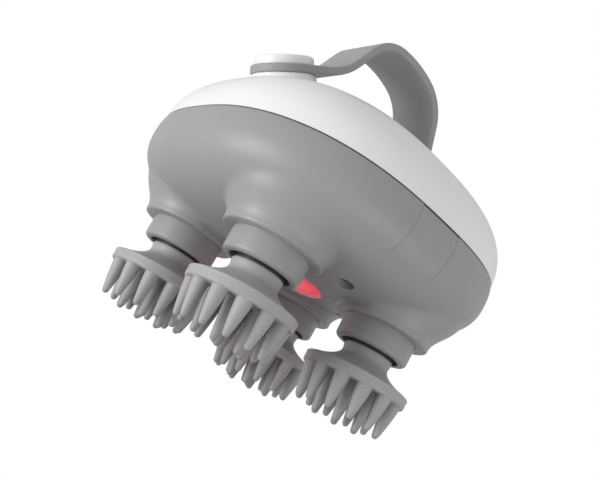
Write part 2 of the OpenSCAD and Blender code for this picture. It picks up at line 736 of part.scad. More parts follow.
module port_bezel() {
    color(dark_c) difference() {
        intersection() {
            translate([0, 0, seat_gap + eps]) loft(belly_levels(wall, seam_gap / 2 - 1, 12));
            translate([-cover_w / 2 - 2, -belly_half, cover_low_z - 2])
                cube([cover_w + 4, pocket_depth + bezel_t, seam_z - seam_gap / 2 - cover_low_z + 2]);
        }
        translate([-cover_w / 2 + 1, -belly_half - 1, cover_low_z + 1])
            cube([cover_w - 2, pocket_depth + 1, cover_h - 2]);
        translate([0, -pocket_y - 1, socket_z]) rotate([-90, 0, 0])
            stadium(socket_size[0] + 2 * seat_gap, socket_size[2] + 2 * seat_gap, 5);
        translate([-cover_w, cover_axis_y, cover_axis_z]) rotate([0, 90, 0])
            cylinder(r = swing_r, h = 2 * cover_w);
    }
}

module cover_pin() {
    color(steel_c) translate([-cover_pin_len / 2, cover_axis_y, cover_axis_z]) rotate([0, 90, 0])
        cylinder(r = cover_pin_r, h = cover_pin_len);
}

cover_cells = 8;
module port_cover() {
    n = cover_cells;
    function cover_y(x, z, inset) = -belly_at(seam_z - z, inset)
        * round_off(x / belly_at(seam_z - z, inset), plan_power);
    function cover_point(i, j, inset) = let (x = cover_w * (i / n - 0.5), z = cover_low_z + cover_h * j / n)
        [x, cover_y(x, z, 0) + inset, z];
    points = [for (t = [0, cover_t]) for (j = [0 : n]) for (i = [0 : n]) cover_point(i, j, t)];
    row = n + 1;
    back = row * row;
    faces = [for (j = [0 : n - 1]) for (i = [0 : n - 1]) let (p = j * row + i)
        each [[p, p + row, p + row + 1], [p, p + row + 1, p + 1],
              [back + p, back + p + row + 1, back + p + row], [back + p, back + p + 1, back + p + row + 1]]];
    rims = [for (i = [0 : n - 1]) let (l = i, h = n * row + i, w = i * row, e = i * row + n) each [
        [l, l + 1, back + l + 1], [l, back + l + 1, back + l],
        [h, back + h, back + h + 1], [h, back + h + 1, h + 1],
        [w, back + w, back + w + row], [w, back + w + row, w + row],
        [e, e + row, back + e + row], [e, back + e + row, back + e]]];
    color(grey_c) difference() {
        union() {
            polyhedron(points, concat(faces, rims));
            translate([-cover_w / 2, cover_axis_y, cover_axis_z]) rotate([0, 90, 0])
                cylinder(r = knuckle_r, h = cover_w);
        }
        translate([-cover_w, cover_axis_y, cover_axis_z]) rotate([0, 90, 0])
            cylinder(r = cover_pin_r + run_gap, h = 2 * cover_w);
    }
}

collar_round = 2.4;
module collar(i) {
    color(grey_c) at_head(i) {
        rotate_extrude() polygon(concat(
            [[mouth_r, seat_z], [mouth_r, lip_z + 0.6], [mouth_r + 0.25, lip_z]],
            arc(collar_r - collar_round, lip_z + collar_round, collar_round, -90, 0, 7),
            [[collar_r, seat_z]]));
        translate([0, 0, bush_low_z]) ring(mouth_r + 0.5, bush_r + seat_gap, seat_z - bush_low_z);
    }
}

module seal(i) {
    color(dark_c) at_head(i) translate([0, 0, seal_z])
        ring(mouth_r - seat_gap, neck_r + run_gap, seal_h);
}

module bush(i) {
    color([0.8, 0.66, 0.35]) at_head(i) translate([0, 0, bush_low_z])
        ring(bush_r, spindle_r + run_gap, hub_top_z - bush_low_z);
}

module spindle(i) {
    color(steel_c) at_head(i) translate([0, 0, disc_z + 2.6])
        cylinder(r = spindle_r, h = gear_z + head_face + 0.8 - disc_z - 2.6);
}

function head_gear_turn(i) = mesh_turn(head_dir(i), sun_teeth, 0, head_teeth);
module head_gear(i) {
    color(gear_c) at_head(i) difference() {
        union() {
            translate([0, 0, gear_z]) rotate(head_gear_turn(i)) gear(head_module, head_teeth, head_face);
            translate([0, 0, plate_z + plate_t + 0.1]) cylinder(r = 4.5, h = free_gap);
        }
        translate([0, 0, plate_z]) cylinder(r = spindle_r + seat_gap / 2, h = 20);
    }
}

module head_core(i) {
    color(soft_c) at_head(i) difference() {
        union() {
            translate([0, 0, disc_z + 1.2]) cylinder(r = core_disc_r, h = core_disc_t);
            translate([0, 0, disc_z + 1.2]) cylinder(r = core_stem_r, h = core_top_z - disc_z - 1.2);
            translate([0, 0, neck_top_z]) cylinder(r = neck_r, h = core_top_z - neck_top_z);
        }
        translate([0, 0, disc_z + 2.6]) cylinder(r = spindle_r + seat_gap / 2, h = 20);
    }
}

module finger(length) {
    translate([0, 0, disc_z - length + finger_tip_r - tip_flat]) {
        cylinder(r1 = finger_tip_r, r2 = finger_root_r, h = length - finger_tip_r + tip_flat + 0.6);
        sphere(r = finger_tip_r);
    }
}
module finger_pad(i) {
    edge_r = 0.9;
    lean_angle = atan(outer_lean / (finger_len - outer_short));
    color(soft_c) at_head(i) difference() {
        union() {
            rotate_extrude() polygon(concat(
                [[0, disc_z], [disc_r - 0.4, disc_z], [disc_r, disc_z + 0.4]],
                arc(disc_r - edge_r, disc_top_z - edge_r, edge_r, 0, 70, 4),
                [[disc_r - 3, disc_top_z + 0.75], [disc_r - 5.2, disc_top_z + 1.75],
                 [waist_r + 1.9, disc_top_z + 3], [waist_r + 0.6, disc_top_z + 4.2],
                 [waist_r, waist_z], [waist_r, waist_z + 0.6], [neck_r - 0.2, waist_z + 1.4],
                 [neck_r, waist_z + 2.2], [neck_r, neck_top_z], [0, neck_top_z]]));
            rotate(head_turns[i - 1]) {
                for (k = [1 : outer_fingers]) rotate(360 * k / outer_fingers)
                    translate([outer_ring_r, 0, disc_z]) rotate([0, lean_angle, 0])
                        translate([0, 0, -disc_z]) finger(finger_len - outer_short);
                for (k = [1 : inner_fingers]) rotate(45 + 360 * k / inner_fingers)
                    translate([inner_ring_r, 0, 0]) finger(finger_len);
                finger(finger_len);
            }
        }
        translate([0, 0, disc_z + 1.2 - seat_gap])
            cylinder(r = core_disc_r + seat_gap, h = core_disc_t + 2 * seat_gap);
        translate([0, 0, disc_z + 1.2 - seat_gap]) cylinder(r = core_stem_r + seat_gap, h = 20);
        translate([-30, -30, -5]) cube([60, 60, 5]);
    }
}

module case_screw(i) {
    head_z = screw_seat_z;
    long_one = i == 2 || i == 4;
    color(steel_c) at_screw(i) difference() {
        union() {
            translate([0, 0, head_z - 1.8]) cylinder(r = screw_head_r, h = 1.8);
            translate([0, 0, head_z - 0.1])
                cylinder(r = screw_r, h = (long_one ? motor_z + 10 : motor_plate_z - 1) - head_z);
        }
        translate([-1.8, -0.3, head_z - 2.8]) cube([3.6, 0.6, 1.8]);
        translate([-0.3, -1.8, head_z - 2.8]) cube([0.6, 3.6, 1.8]);
    }
}

top_shell();
bottom_shell();
seam_gasket();
strap();
strap_clip();
button_sleeve();
power_button();
switch_plunger();
tact_switch();
button_board();
light_lens();
light_board();
gear_plate();
sun_arbor();
sun_gear();
idler_arbor();
idler_gear();
motor();
motor_pinion();
motor_plate();
battery();
battery_tray();
control_board();
charging_socket();
charge_board();
port_bezel();
cover_pin();
port_cover();
for (i = HEADS) {
    collar(i);
    seal(i);
    bush(i);
    spindle(i);
    head_gear(i);
    head_core(i);
    finger_pad(i);
    case_screw(i);
}
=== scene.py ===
import json
import math

import bmesh
import bpy
from mathutils import Matrix, Vector


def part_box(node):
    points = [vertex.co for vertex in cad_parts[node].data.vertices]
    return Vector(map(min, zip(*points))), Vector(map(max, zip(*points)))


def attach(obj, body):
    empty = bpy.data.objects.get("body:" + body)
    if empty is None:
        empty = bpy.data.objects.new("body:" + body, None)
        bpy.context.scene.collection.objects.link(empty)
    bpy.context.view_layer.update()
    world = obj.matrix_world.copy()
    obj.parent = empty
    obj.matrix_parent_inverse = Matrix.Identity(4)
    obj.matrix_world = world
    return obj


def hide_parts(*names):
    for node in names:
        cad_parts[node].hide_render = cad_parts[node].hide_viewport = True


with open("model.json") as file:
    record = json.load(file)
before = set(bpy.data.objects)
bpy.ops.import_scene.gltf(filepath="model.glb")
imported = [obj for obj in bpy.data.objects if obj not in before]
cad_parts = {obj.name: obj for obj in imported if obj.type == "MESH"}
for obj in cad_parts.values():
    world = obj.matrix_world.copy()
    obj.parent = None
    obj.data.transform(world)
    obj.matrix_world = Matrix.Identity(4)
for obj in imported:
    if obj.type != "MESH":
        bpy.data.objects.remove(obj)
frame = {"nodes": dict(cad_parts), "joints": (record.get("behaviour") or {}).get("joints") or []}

bl_info = {
    "name": "Scalp Massager Looks",
    "version": (1, 0, 0),
    "blender": (4, 5, 0),
    "location": "3D View > Sidebar > Massager",
    "description": "Shells, strap, button and soft heads of a scalp massager round its packed frame",
    "category": "Object",
}

MM = 0.001
HEADS = (1, 2, 3, 4)

FAR = 0.1  # past the outside of the whole object, in metres
OVERRUN = 1 * MM  # how far a cutter runs past the face that it opens
BUSH_SEAT_R = 4.55 * MM  # radius of the bushes' seats in the lower shell and the collars
LENS_RIM = 0.8 * MM  # height of the red window's wide rim
LENS_STEP = 2 * MM  # width of the step between that rim and the window's plug
LENS_GAP = 0.05 * MM  # gap round the red window in its seat
TURNED_EDGE = 40  # angle in degrees past which an edge of a turned piece is sharp


# Settings: lengths are in metres, angles in radians


def length(name, description, default):
    """A length property whose default is given in millimetres."""
    return bpy.props.FloatProperty(
        name=name, description=description, default=default * MM, unit="LENGTH", precision=5
    )


def number(name, description, default):
    """A plain number property."""
    return bpy.props.FloatProperty(name=name, description=description, default=default)


def turn(name, description, default):
    """An angle property whose default is given in degrees."""
    return bpy.props.FloatProperty(
        name=name, description=description, default=math.radians(default), subtype="ANGLE"
    )


def colour(name, description, default):
    """A colour property, in linear light."""
    return bpy.props.FloatVectorProperty(
        name=name, description=description, default=default, subtype="COLOR", size=3, min=0, max=1
    )


class ShellSettings(bpy.types.PropertyGroup):
    """Sizes of the lower and the upper shell."""

    half_width: length("Half width", "Half width of the body at its widest", 55.8)
    belly_depth: length("Belly depth", "Depth of the belly below its widest level", 20.6)
    bulge_drop: length("Bulge drop", "Drop from the parting line to the widest level", 5)
    dome_height: length("Dome height", "Height of the dome above the parting line", 27.4)
    plan_power: number("Plan power", "Squareness of the plan", 2.57)
    dome_power: number("Dome power", "Fullness of the dome's side", 2.4)
    belly_power: number("Belly power", "Fullness of the belly's side", 2.55)
    wall: length("Wall", "Wall of both shells", 2.2)
    boss_r: length("Boss radius", "Rim radius of the boss under each corner", 15.84)
    boss_spread: length("Boss spread", "How far a boss widens on its way up to the belly", 5.7)
    boss_round: length("Boss round", "Rounding of a boss's rim", 1.1)
    blend: length("Blend", "Width of the smooth run between a boss and the belly", 1.4)
    seat_depth: length("Seat depth", "Depth of a collar's seat in its boss", 2.4)
    screw_ring_r: length("Screw ring", "Distance of the screws' recesses from the middle", 29.3)
    screw_hole_r: length("Screw recess", "Radius of a screw's recess", 3.4)
    screw_hole_top: length("Recess top", "Height of the end of a screw's recess", 38.8)
    pedestal_low_r: length("Pedestal low radius", "Radius of the button seat's foot", 12.1)
    pedestal_top_r: length("Pedestal top radius", "Radius of the button seat under the strap", 10)
    pedestal_h: length("Pedestal height", "Height of the button seat's cone", 9)
    pedestal_blend: length("Pedestal blend", "Fillet round the button seat's foot", 1.2)
    edge_break: length("Edge break", "Rounding of the shells' edges along the parting line", 0.35)
    voxel: length("Voxel", "Cell of the volumes that the shells are meshed from", 0.6)


class HeadSettings(bpy.types.PropertyGroup):
    """Sizes of the four soft heads. Heights are above the ground."""

    disc_r: length("Disc radius", "Radius of a head's disc", 17)
    disc_low: length("Disc low", "Height of the underside of a disc", 12.5)
    disc_edge: length("Disc edge", "Thickness of the disc's edge", 3.4)
    disc_round: length("Disc round", "Width of the rounding of the disc's upper edge", 1.3)
    disc_bevel: length("Disc bevel", "Width of the rounding of the disc's lower edge", 1.2)
    waist_r: length("Waist radius", "Radius of the neck's waist", 7.75)
    waist_h: length("Waist height", "Height of the waist above the disc's underside", 8.7)
    neck_r: length("Neck radius", "Radius of the neck where it enters the collar", 8.05)
    neck_top: length("Neck top", "Height of the soft neck's end under the collar's mouth", 23.8)
    outer_fingers: number("Outer fingers", "Fingers in the outer ring", 12)
    outer_ring_r: length("Outer ring", "Radius of the outer ring at the fingers' roots", 14)
    outer_lean: length("Outer lean", "How far an outer finger's tip leans in", 0.5)
    outer_low: length("Outer tips", "Height of the outer fingers' tips", 1.7)
    inner_fingers: number("Inner fingers", "Fingers in the inner ring", 6)
    inner_ring_r: length("Inner ring", "Radius of the inner ring of fingers", 7.7)
    inner_turn: turn("Inner turn", "Turn of the inner ring against the outer ring", 45)
    root_r: length("Root radius", "Radius of a finger at its root", 2.45)
    tip_r: length("Tip radius", "Radius of a finger's rounded tip", 1.08)
    taper: number("Taper", "Fullness of a finger's side, 1 for a straight cone", 1.45)
    fillet: length("Fillet", "Width of the smooth run between a finger and the disc", 0.3)
    turns: bpy.props.FloatVectorProperty(
        name="Turns",
        description="Turn of each head at rest",
        default=[math.radians(t) for t in (22.5, 2, 3, 3)],
        size=4,
    )
    voxel: length("Voxel", "Cell of the volume that a head is meshed from", 0.32)


class StrapSettings(bpy.types.PropertyGroup):
    """Sizes of the finger strap and of its path over the dome."""

    width: length("Width", "Width of the strap", 21)
    thick: length("Thickness", "Thickness of the strap", 2.6)
    edge_r: length("Edge radius", "Rounding of the strap's long edges", 0.55)
    flat: length("Flat", "Straight length from the button's axis", 10.8)
    dip_r: length("Dip radius", "Radius of the dip beside the button", 20.4)
    rise: length("Rise", "Length of the rising stretch", 8.4)
    rise_angle: turn("Rise angle", "Slope of the rising stretch", 67.2)
    arch_r: bpy.props.FloatVectorProperty(
        name="Arch radii",
        description="Radii of the arch's three bends",
        default=[r * MM for r in (12.4, 37.4, 16.2)],
        unit="LENGTH",
        size=3,
    )
    arch_turn: bpy.props.FloatVectorProperty(
        name="Arch turns",
        description="Turns of the arch's three bends",
        default=[math.radians(t) for t in (60.3, 22.2, 55.1)],
        size=3,
    )
    tail_bead: length("Tail bead", "Radius of the bead at the end of the strap's tail", 2.2)
    slot_gap: length("Slot gap", "Gap between the strap and the slot in the dome", 0.4)


class ButtonSettings(bpy.types.PropertyGroup):
    """Sizes of the power button and of the strap's ring round it."""

    radius: length("Radius", "Radius of the button's cap", 9.43)
    low: length("Low", "Height of the cap's lower edge above the strap's seat", 2.45)
    top: length("Top", "Height of the cap's top above the strap's seat", 5.35)
    crown: length("Crown", "Rise of the cap's middle above its edge", 0.22)
    edge_r: length("Edge radius", "Rounding of the cap's upper edge", 0.8)
    skirt_r: length("Skirt radius", "Inner radius of the cap's skirt", 8.3)
    skirt_top: length("Skirt top", "Height of the skirt's inside above the strap's seat", 3.8)
    stem_r: length("Stem radius", "Radius of the button's stem", 5.1)
    stem_low: length("Stem low", "Depth of the stem's end below the strap's seat", -5)
    nub_r: length("Nub radius", "Radius of the nub that presses the switch", 1.5)
    nub_low: length("Nub low", "Depth of the nub's end below the strap's seat", -8)
    ring_r: length("Ring radius", "Radius of the strap's ring round the button", 10.5)
    ledge: length("Ledge", "Height of the ledge inside the strap's ring", 1.6)
    ledge_r: length("Ledge radius", "Radius of the counterbore in the strap's ring", 9.75)
    hole_r: length("Hole radius", "Radius of the hole through the strap's ring", 7.2)


class FinishSettings(bpy.types.PropertyGroup):
    """Colours of the pieces."""

    dome: colour("Dome", "Colour of the upper shell and the button", (0.78, 0.785, 0.8))
    belly: colour("Belly", "Colour of the lower shell, its cover and the collars", (0.3, 0.3, 0.305))
    heads: colour("Heads", "Colour of the soft heads", (0.36, 0.36, 0.365))
    strap: colour("Strap", "Colour of the strap", (0.29, 0.29, 0.295))
    rubber: colour("Rubber", "Colour of the rubber ring and the heads' seals", (0.02, 0.02, 0.022))
    # This colour also paints the necks' cores, where it is painted shade inside the collars' mouths.
    inside: colour("Inside", "Colour of the dark plastic pieces inside", (0.03, 0.03, 0.033))
    gears: colour("Gears", "Colour of the gears", (0.72, 0.69, 0.6))
    boards: colour("Boards", "Colour of the circuit boards", (0.02, 0.13, 0.06))
    cell: colour("Cell", "Colour of the battery's wrap", (0.09, 0.18, 0.4))
    steel: colour("Steel", "Colour of the pins, spindles and screws", (0.62, 0.63, 0.65))
    bronze: colour("Bronze", "Colour of the bushes", (0.55, 0.38, 0.17))
    window: colour("Window", "Colour of the lit window's middle", (1, 0.14, 0.17))
    window_edge: colour("Window edge", "Colour of the lit window's edge", (0.75, 0.02, 0.04))
    window_light: number("Window light", "Strength of the window's own light", 0.62)


class StageSettings(bpy.types.PropertyGroup):
    """The camera and the light."""

    camera_x: length("Camera X", "Place of the camera along X", -140.84)
    camera_y: length("Camera Y", "Place of the camera along Y", -213.77)
    camera_z: length("Camera Z", "Height of the camera", -22.07)
    camera_right: bpy.props.FloatVectorProperty(
        name="Camera right",
        description="Direction of the picture's right side",
        default=(0.6612, -0.5822, 0.4731),
    )
    camera_ahead: bpy.props.FloatVectorProperty(
        name="Camera ahead",
        description="Direction that the camera looks in",
        default=(0.5276, 0.8092, 0.2583),
    )
    focal: number("Focal length", "Focal length in millimetres on a 36 mm sensor", 49.07)
    key_power: number("Key power", "Power of the key lamp in watts", 6)
    fill_power: number("Fill power", "Power of the lamp that lights the underside", 1.75)
    ambient: number("Ambient", "Strength of the soft light from all round", 0.63)


SETTINGS = {
    "massager_shell": ShellSettings,
    "massager_heads": HeadSettings,
    "massager_strap": StrapSettings,
    "massager_button": ButtonSettings,
    "massager_finish": FinishSettings,
    "massager_stage": StageSettings,
}


# Places taken from the frame


def middle(node):
    """Middle of a CAD node's box."""
    low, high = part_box(node)
    return (low + high) / 2


def seam_height():
    """Height of the parting line: the middle of the rubber ring between the shells."""
    return middle("seam_gasket").z


def head_place(i):
    """Place of a head's axis on the ground."""
    axis = middle(f"spindle_{i}")
    return Vector((axis.x, axis.y, 0))


def joint(name):
    """A joint of the frame by name."""
    return next(j for j in frame["joints"] if j["name"] == name)


def button_frame():
    """Matrix whose Z is the button's axis and whose origin is the middle of the strap's seat."""
    press = joint("button_press")
    out = -Vector(press["axis"]).normalized()
    across = Vector((0, 1, 0))
    axes = Matrix((across.cross(out), across, out)).transposed().to_4x4()
    return Matrix.Translation(Vector(press["pos_m"])) @ axes


# Meshes built by hand


def new_piece(name, mesh):
    """A new object in the scene that holds the mesh."""
    piece = bpy.data.objects.new(name, mesh)
    bpy.context.scene.collection.objects.link(piece)
    return piece


def mesh_from(name, points, faces):
    """A closed mesh with outward normals from points and faces."""
    mesh = bpy.data.meshes.new(name)
    mesh.from_pydata([tuple(p) for p in points], [], faces)
    work = bmesh.new()
    work.from_mesh(mesh)
    bmesh.ops.recalc_face_normals(work, faces=work.faces)
    if work.calc_volume(signed=True) < 0:
        bmesh.ops.reverse_faces(work, faces=work.faces)
    work.to_mesh(mesh)
    work.free()
    return mesh


def fillet(corners, steps=7):
    """Outline through (x, y, radius) corners, with an arc of that radius at each corner."""
    outline = []
    for k, (x, y, radius) in enumerate(corners):
        corner = Vector((x, y))
        if radius <= 0:
            outline.append(corner)
            continue
        before = (Vector(corners[k - 1][:2]) - corner).normalized()
        after = (Vector(corners[(k + 1) % len(corners)][:2]) - corner).normalized()
        half = before.angle(after) / 2
        centre = corner + (before + after).normalized() * radius / math.sin(half)
        start = corner + before * radius / math.tan(half) - centre
        end = corner + after * radius / math.tan(half) - centre
        sweep = start.angle_signed(end)
        for n in range(steps + 1):
            spoke = start.copy()
            spoke.rotate(Matrix.Rotation(-sweep * n / steps, 2))
            outline.append(centre + spoke)
    return outline


def lathe(name, outline, steps=192):
    """A closed outline of (radius, height) turned about Z. Points on the axis are shared."""
    on_axis = 1e-7
    points, rows = [], []
    for radius, height in outline:
        if radius < on_axis:
            rows.append([len(points)] * steps)
            points.append((0, 0, height))
            continue
        rows.append([len(points) + k for k in range(steps)])
        for k in range(steps):
            angle = 2 * math.pi * k / steps
            points.append((radius * math.cos(angle), radius * math.sin(angle), height))
    faces = []
    for row, after in zip(rows, rows[1:] + rows[:1]):
        for k in range(steps):
            ring = [row[k], row[(k + 1) % steps], after[(k + 1) % steps], after[k]]
            face = list(dict.fromkeys(ring))
            if len(face) > 2:
                faces.append(face)
    return mesh_from(name, points, faces)


def plan_radius(angle, power):
    """Radius of a unit rounded square in a direction."""
    return (abs(math.cos(angle)) ** power + abs(math.sin(angle)) ** power) ** (-1 / power)


def loft(name, levels, power, closed=False, steps=192):
    """Rounded-square rings of (half width, height), joined in order and capped, or closed as a ring."""
    points = []
    for half, height in levels:
        for k in range(steps):
            angle = 2 * math.pi * k / steps
            radius = half * plan_radius(angle, power)
            points.append((radius * math.cos(angle), radius * math.sin(angle), height))
    count = len(levels)
    faces = []
    for j in range(count if closed else count - 1):
        this, other = j * steps, (j + 1) % count * steps
        for k in range(steps):
            after = (k + 1) % steps
            faces.append([this + k, this + after, other + after, other + k])
    if not closed:
        faces.append(list(range(steps)))
        faces.append([(count - 1) * steps + k for k in range(steps)])
    return mesh_from(name, points, faces)


def block(name, low, high):
    """A box between two corners, used only to cut."""
    spans = list(zip(low, high))
    corners = [(x, y, z) for x in spans[0] for y in spans[1] for z in spans[2]]
    faces = [(0, 1, 3, 2), (4, 6, 7, 5), (0, 4, 5, 1), (2, 3, 7, 6), (0, 2, 6, 4), (1, 5, 7, 3)]
    return mesh_from(name, corners, faces)


def moved(mesh, matrix):
    """The mesh after a move."""
    mesh.transform(matrix)
    return mesh


def apply_modifiers(piece):
    """Turns what the modifiers make into a plain mesh and removes them."""
    graph = bpy.context.evaluated_depsgraph_get()
    made = bpy.data.meshes.new_from_object(
        piece.evaluated_get(graph), preserve_all_data_layers=True, depsgraph=graph
    )
    piece.modifiers.clear()
    piece.data = made
    if not made.polygons:
        raise RuntimeError(f"{piece.name} came out empty")
    return piece


def carve(piece, cutters, operation="DIFFERENCE"):
    """Cuts meshes out of a piece, or adds or keeps them, and removes the cutters."""
    tools = [new_piece(f"{piece.name}_cutter_{n}", mesh) for n, mesh in enumerate(cutters)]
    for tool in tools:
        cut = piece.modifiers.new("Cut", "BOOLEAN")
        cut.operation = operation
        cut.solver = "MANIFOLD"
        cut.object = tool
    apply_modifiers(piece)
    for tool in tools:
        bpy.data.objects.remove(tool)
    return piece


def shade(piece, angle=32):
    """Smooth shading with sharp edges past an angle in degrees."""
    piece.data.shade_smooth()
    piece.data.set_sharp_from_angle(angle=math.radians(angle))
    return piece


def paint(piece, material):
    """Gives the whole piece one material."""
    piece.data.materials.clear()
    piece.data.materials.append(material)
    for polygon in piece.data.polygons:
        polygon.material_index = 0
    return piece


def hand_over(piece, body, nodes=()):
    """Rides the finished piece on its body, in place of its CAD nodes."""
    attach(piece, body)
    if nodes:
        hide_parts(*nodes)
    return piece


# Geometry Nodes


class Value:
    """A number in a node tree. Arithmetic on it adds Math nodes."""

    def __init__(self, tree, socket):
        self.tree = tree
        self.socket = socket

    def math(self, operation, *others):
        """This value and others through one Math node."""
        node = self.tree.nodes.new("ShaderNodeMath")
        node.operation = operation
        for socket, value in zip(node.inputs, (self, *others)):
            put(self.tree, socket, value)
        return Value(self.tree, node.outputs[0])

    def __add__(self, other):
        return self.math("ADD", other)

    def __sub__(self, other):
        return self.math("SUBTRACT", other)

    def __mul__(self, other):
        return self.math("MULTIPLY", other)

    def __truediv__(self, other):
        return self.math("DIVIDE", other)

    def __pow__(self, other):
        return self.math("POWER", other)

    def __neg__(self):
        return self.math("MULTIPLY", -1)

    def least(self, other):
        """The lower of two values: the union of two distances."""
        return self.math("MINIMUM", other)

    def most(self, other):
        """The higher of two values: the intersection of two distances."""
        return self.math("MAXIMUM", other)

    def joined(self, other, width):
        """Smooth union of two distances."""
        return self.math("SMOOTH_MIN", other, width)

    def shared(self, other, width):
        """Smooth intersection of two distances."""
        return self.math("SMOOTH_MAX", other, width)

    def size(self):
        """The value without its sign."""
        return self.math("ABSOLUTE")

    def root(self):
        """Square root."""
        return self.math("SQRT")

    def clamped(self):
        """The value held between 0 and 1."""
        return self.most(0).least(1)


def put(tree, socket, value):
    """Links a Value or a socket to an input, or sets the input to a number."""
    if isinstance(value, Value):
        tree.links.new(value.socket, socket)
    elif isinstance(value, bpy.types.NodeSocket):
        tree.links.new(value, socket)
    else:
        socket.default_value = value


def hypot(*parts):
    """Length of a vector of Values."""
    total = parts[0] * parts[0]
    for part in parts[1:]:
        total = total + part * part
    return total.root()


def between(value, start, end):
    """0 before start, 1 after end, and smooth between them."""
    share = ((value - start) / (end - start)).clamped()
    return share * share * (share * -2 + 3)


def geometry_group(name, inputs, outputs):
    """A Geometry Nodes group with its two end nodes. A socket is given as (name, socket type)."""
    tree = bpy.data.node_groups.new(name, "GeometryNodeTree")
    for label, kind in inputs:
        tree.interface.new_socket(label, in_out="INPUT", socket_type=kind)
    for label, kind in outputs:
        tree.interface.new_socket(label, in_out="OUTPUT", socket_type=kind)
    source = tree.nodes.new("NodeGroupInput")
    sink = tree.nodes.new("NodeGroupOutput")
    return tree, source, sink


def distance_group(name, inputs, formula):
    """A group that gives the distance of a point from a solid, negative inside, worked out by a formula."""
    sockets = [("Point", "NodeSocketVector")] + [(label, "NodeSocketFloat") for label in inputs]
    tree, source, sink = geometry_group(name, sockets, [("Distance", "NodeSocketFloat")])
    split = tree.nodes.new("ShaderNodeSeparateXYZ")
    tree.links.new(source.outputs["Point"], split.inputs[0])
    point = [Value(tree, socket) for socket in split.outputs]
    values = {label: Value(tree, source.outputs[label]) for label in inputs}
    put(tree, sink.inputs["Distance"], formula(*point, values))
    return tree


def rounded_square(x, y, power):
    """Half width of the rounded square through a point of the plan."""
    return (x.size() ** power + y.size() ** power) ** (power ** -1)


def shell_distance(reach, rise, half, height, power):
    """Distance from a superellipse turned over the rounded-square plan."""
    tiny = 1e-9
    across = reach / half
    up = rise.size() / height
    total = (across ** power + up ** power).most(tiny)
    level = total ** (power ** -1)
    slope = power - 1
    fade = level ** (slope * -1)
    steep = hypot(across ** slope / half * fade, up ** slope / height * fade)
    return (level - 1) / steep


BELLY_INPUTS = (
    "Half Width", "Belly Depth", "Middle Height", "Plan Power", "Side Power", "Head Offset",
    "Boss Radius", "Boss Rim", "Boss Spread", "Boss Round", "Blend",
)


def belly_formula(x, y, z, v):
    """The belly with a boss under each corner, which spreads smoothly into it."""
    spread_from, spread_to, boss_height = 1.2 * MM, 12.6 * MM, 14 * MM
    side_slope = 0.88  # true distance from the spreading side for each unit across
    reach = rounded_square(x, y, v["Plan Power"])
    level = z - v["Middle Height"]
    belly = shell_distance(reach, level, v["Half Width"], v["Belly Depth"], v["Side Power"])
    out = hypot(x.size() - v["Head Offset"], y.size() - v["Head Offset"])
    rise = z - v["Boss Rim"]
    spread = between(rise, spread_from, spread_to) * v["Boss Spread"]
    boss = (out - v["Boss Radius"] - spread) * side_slope
    foot = boss.shared(-rise, v["Boss Round"])
    roof = foot.most(rise - boss_height)
    return belly.joined(roof, v["Blend"])


DOME_INPUTS = (
    "Half Width", "Height", "Seam Height", "Plan Power", "Side Power", "Seat X", "Seat Z",
    "Axis X", "Axis Z", "Top Radius", "Low Radius", "Cone Height", "Blend", "Edge Break",
)


def dome_formula(x, y, z, v):
    """The dome with the tilted cone that carries the button and the strap's ring."""
    cone_slope = 0.97  # true distance from the cone's side for each unit across
    cone_share = 1.4  # length of the cone down into the dome, in cone heights
    reach = rounded_square(x, y, v["Plan Power"])
    dome = shell_distance(reach, z - v["Seam Height"], v["Half Width"], v["Height"], v["Side Power"])
    along = (x - v["Seat X"]) * v["Axis X"] + (z - v["Seat Z"]) * v["Axis Z"]
    side = (x - v["Seat X"]) * v["Axis Z"] - (z - v["Seat Z"]) * v["Axis X"]
    out = hypot(side, y)
    widen = (v["Low Radius"] - v["Top Radius"]) * (along * -1) / v["Cone Height"]
    cone = (out - v["Top Radius"] - widen) * cone_slope
    seat = cone.shared(along, v["Edge Break"]).most(along * -1 - v["Cone Height"] * cone_share)
    return dome.joined(seat, v["Blend"])


PAD_INPUTS = (
    "Disc Radius", "Disc Low", "Disc Edge", "Disc Round", "Disc Bevel", "Waist Radius", "Waist Height",
    "Neck Radius", "Neck Top", "Outer Fingers", "Outer Ring", "Outer Lean", "Outer Low", "Inner Fingers",
    "Inner Ring", "Inner Turn", "Root Radius", "Tip Radius", "Taper", "Fillet",
)


def finger_distance(across, y, z, ring, lean, low, v):
    """Distance from one tapered finger that hangs from the disc at a radius and leans in."""
    root_depth = 0.6 * MM
    side_slope = 0.95  # true distance from the tapered side for each unit across
    top = v["Disc Low"] + root_depth
    tip = low + v["Tip Radius"]
    height = top - tip
    share = ((across - ring) * (lean * -1) + (top - z) * height) / (height * height + lean * lean)
    share = share.clamped()
    gap = hypot(across - ring + lean * share, y, z - top + height * share)
    thinner = (v["Root Radius"] - v["Tip Radius"]) * share ** v["Taper"]
    return (gap - v["Root Radius"] + thinner) * side_slope


def ring_of_fingers(out, angle, z, count, turned, ring, lean, low, v):
    """The nearest finger of a ring, found by folding the angle into one sector."""
    sector = count ** -1 * (2 * math.pi)
    from_turn = angle - turned
    folded = from_turn - (from_turn / sector).math("ROUND") * sector
    along, beside = out * folded.math("COSINE"), out * folded.math("SINE")
    return finger_distance(along, beside, z, ring, lean, low, v)


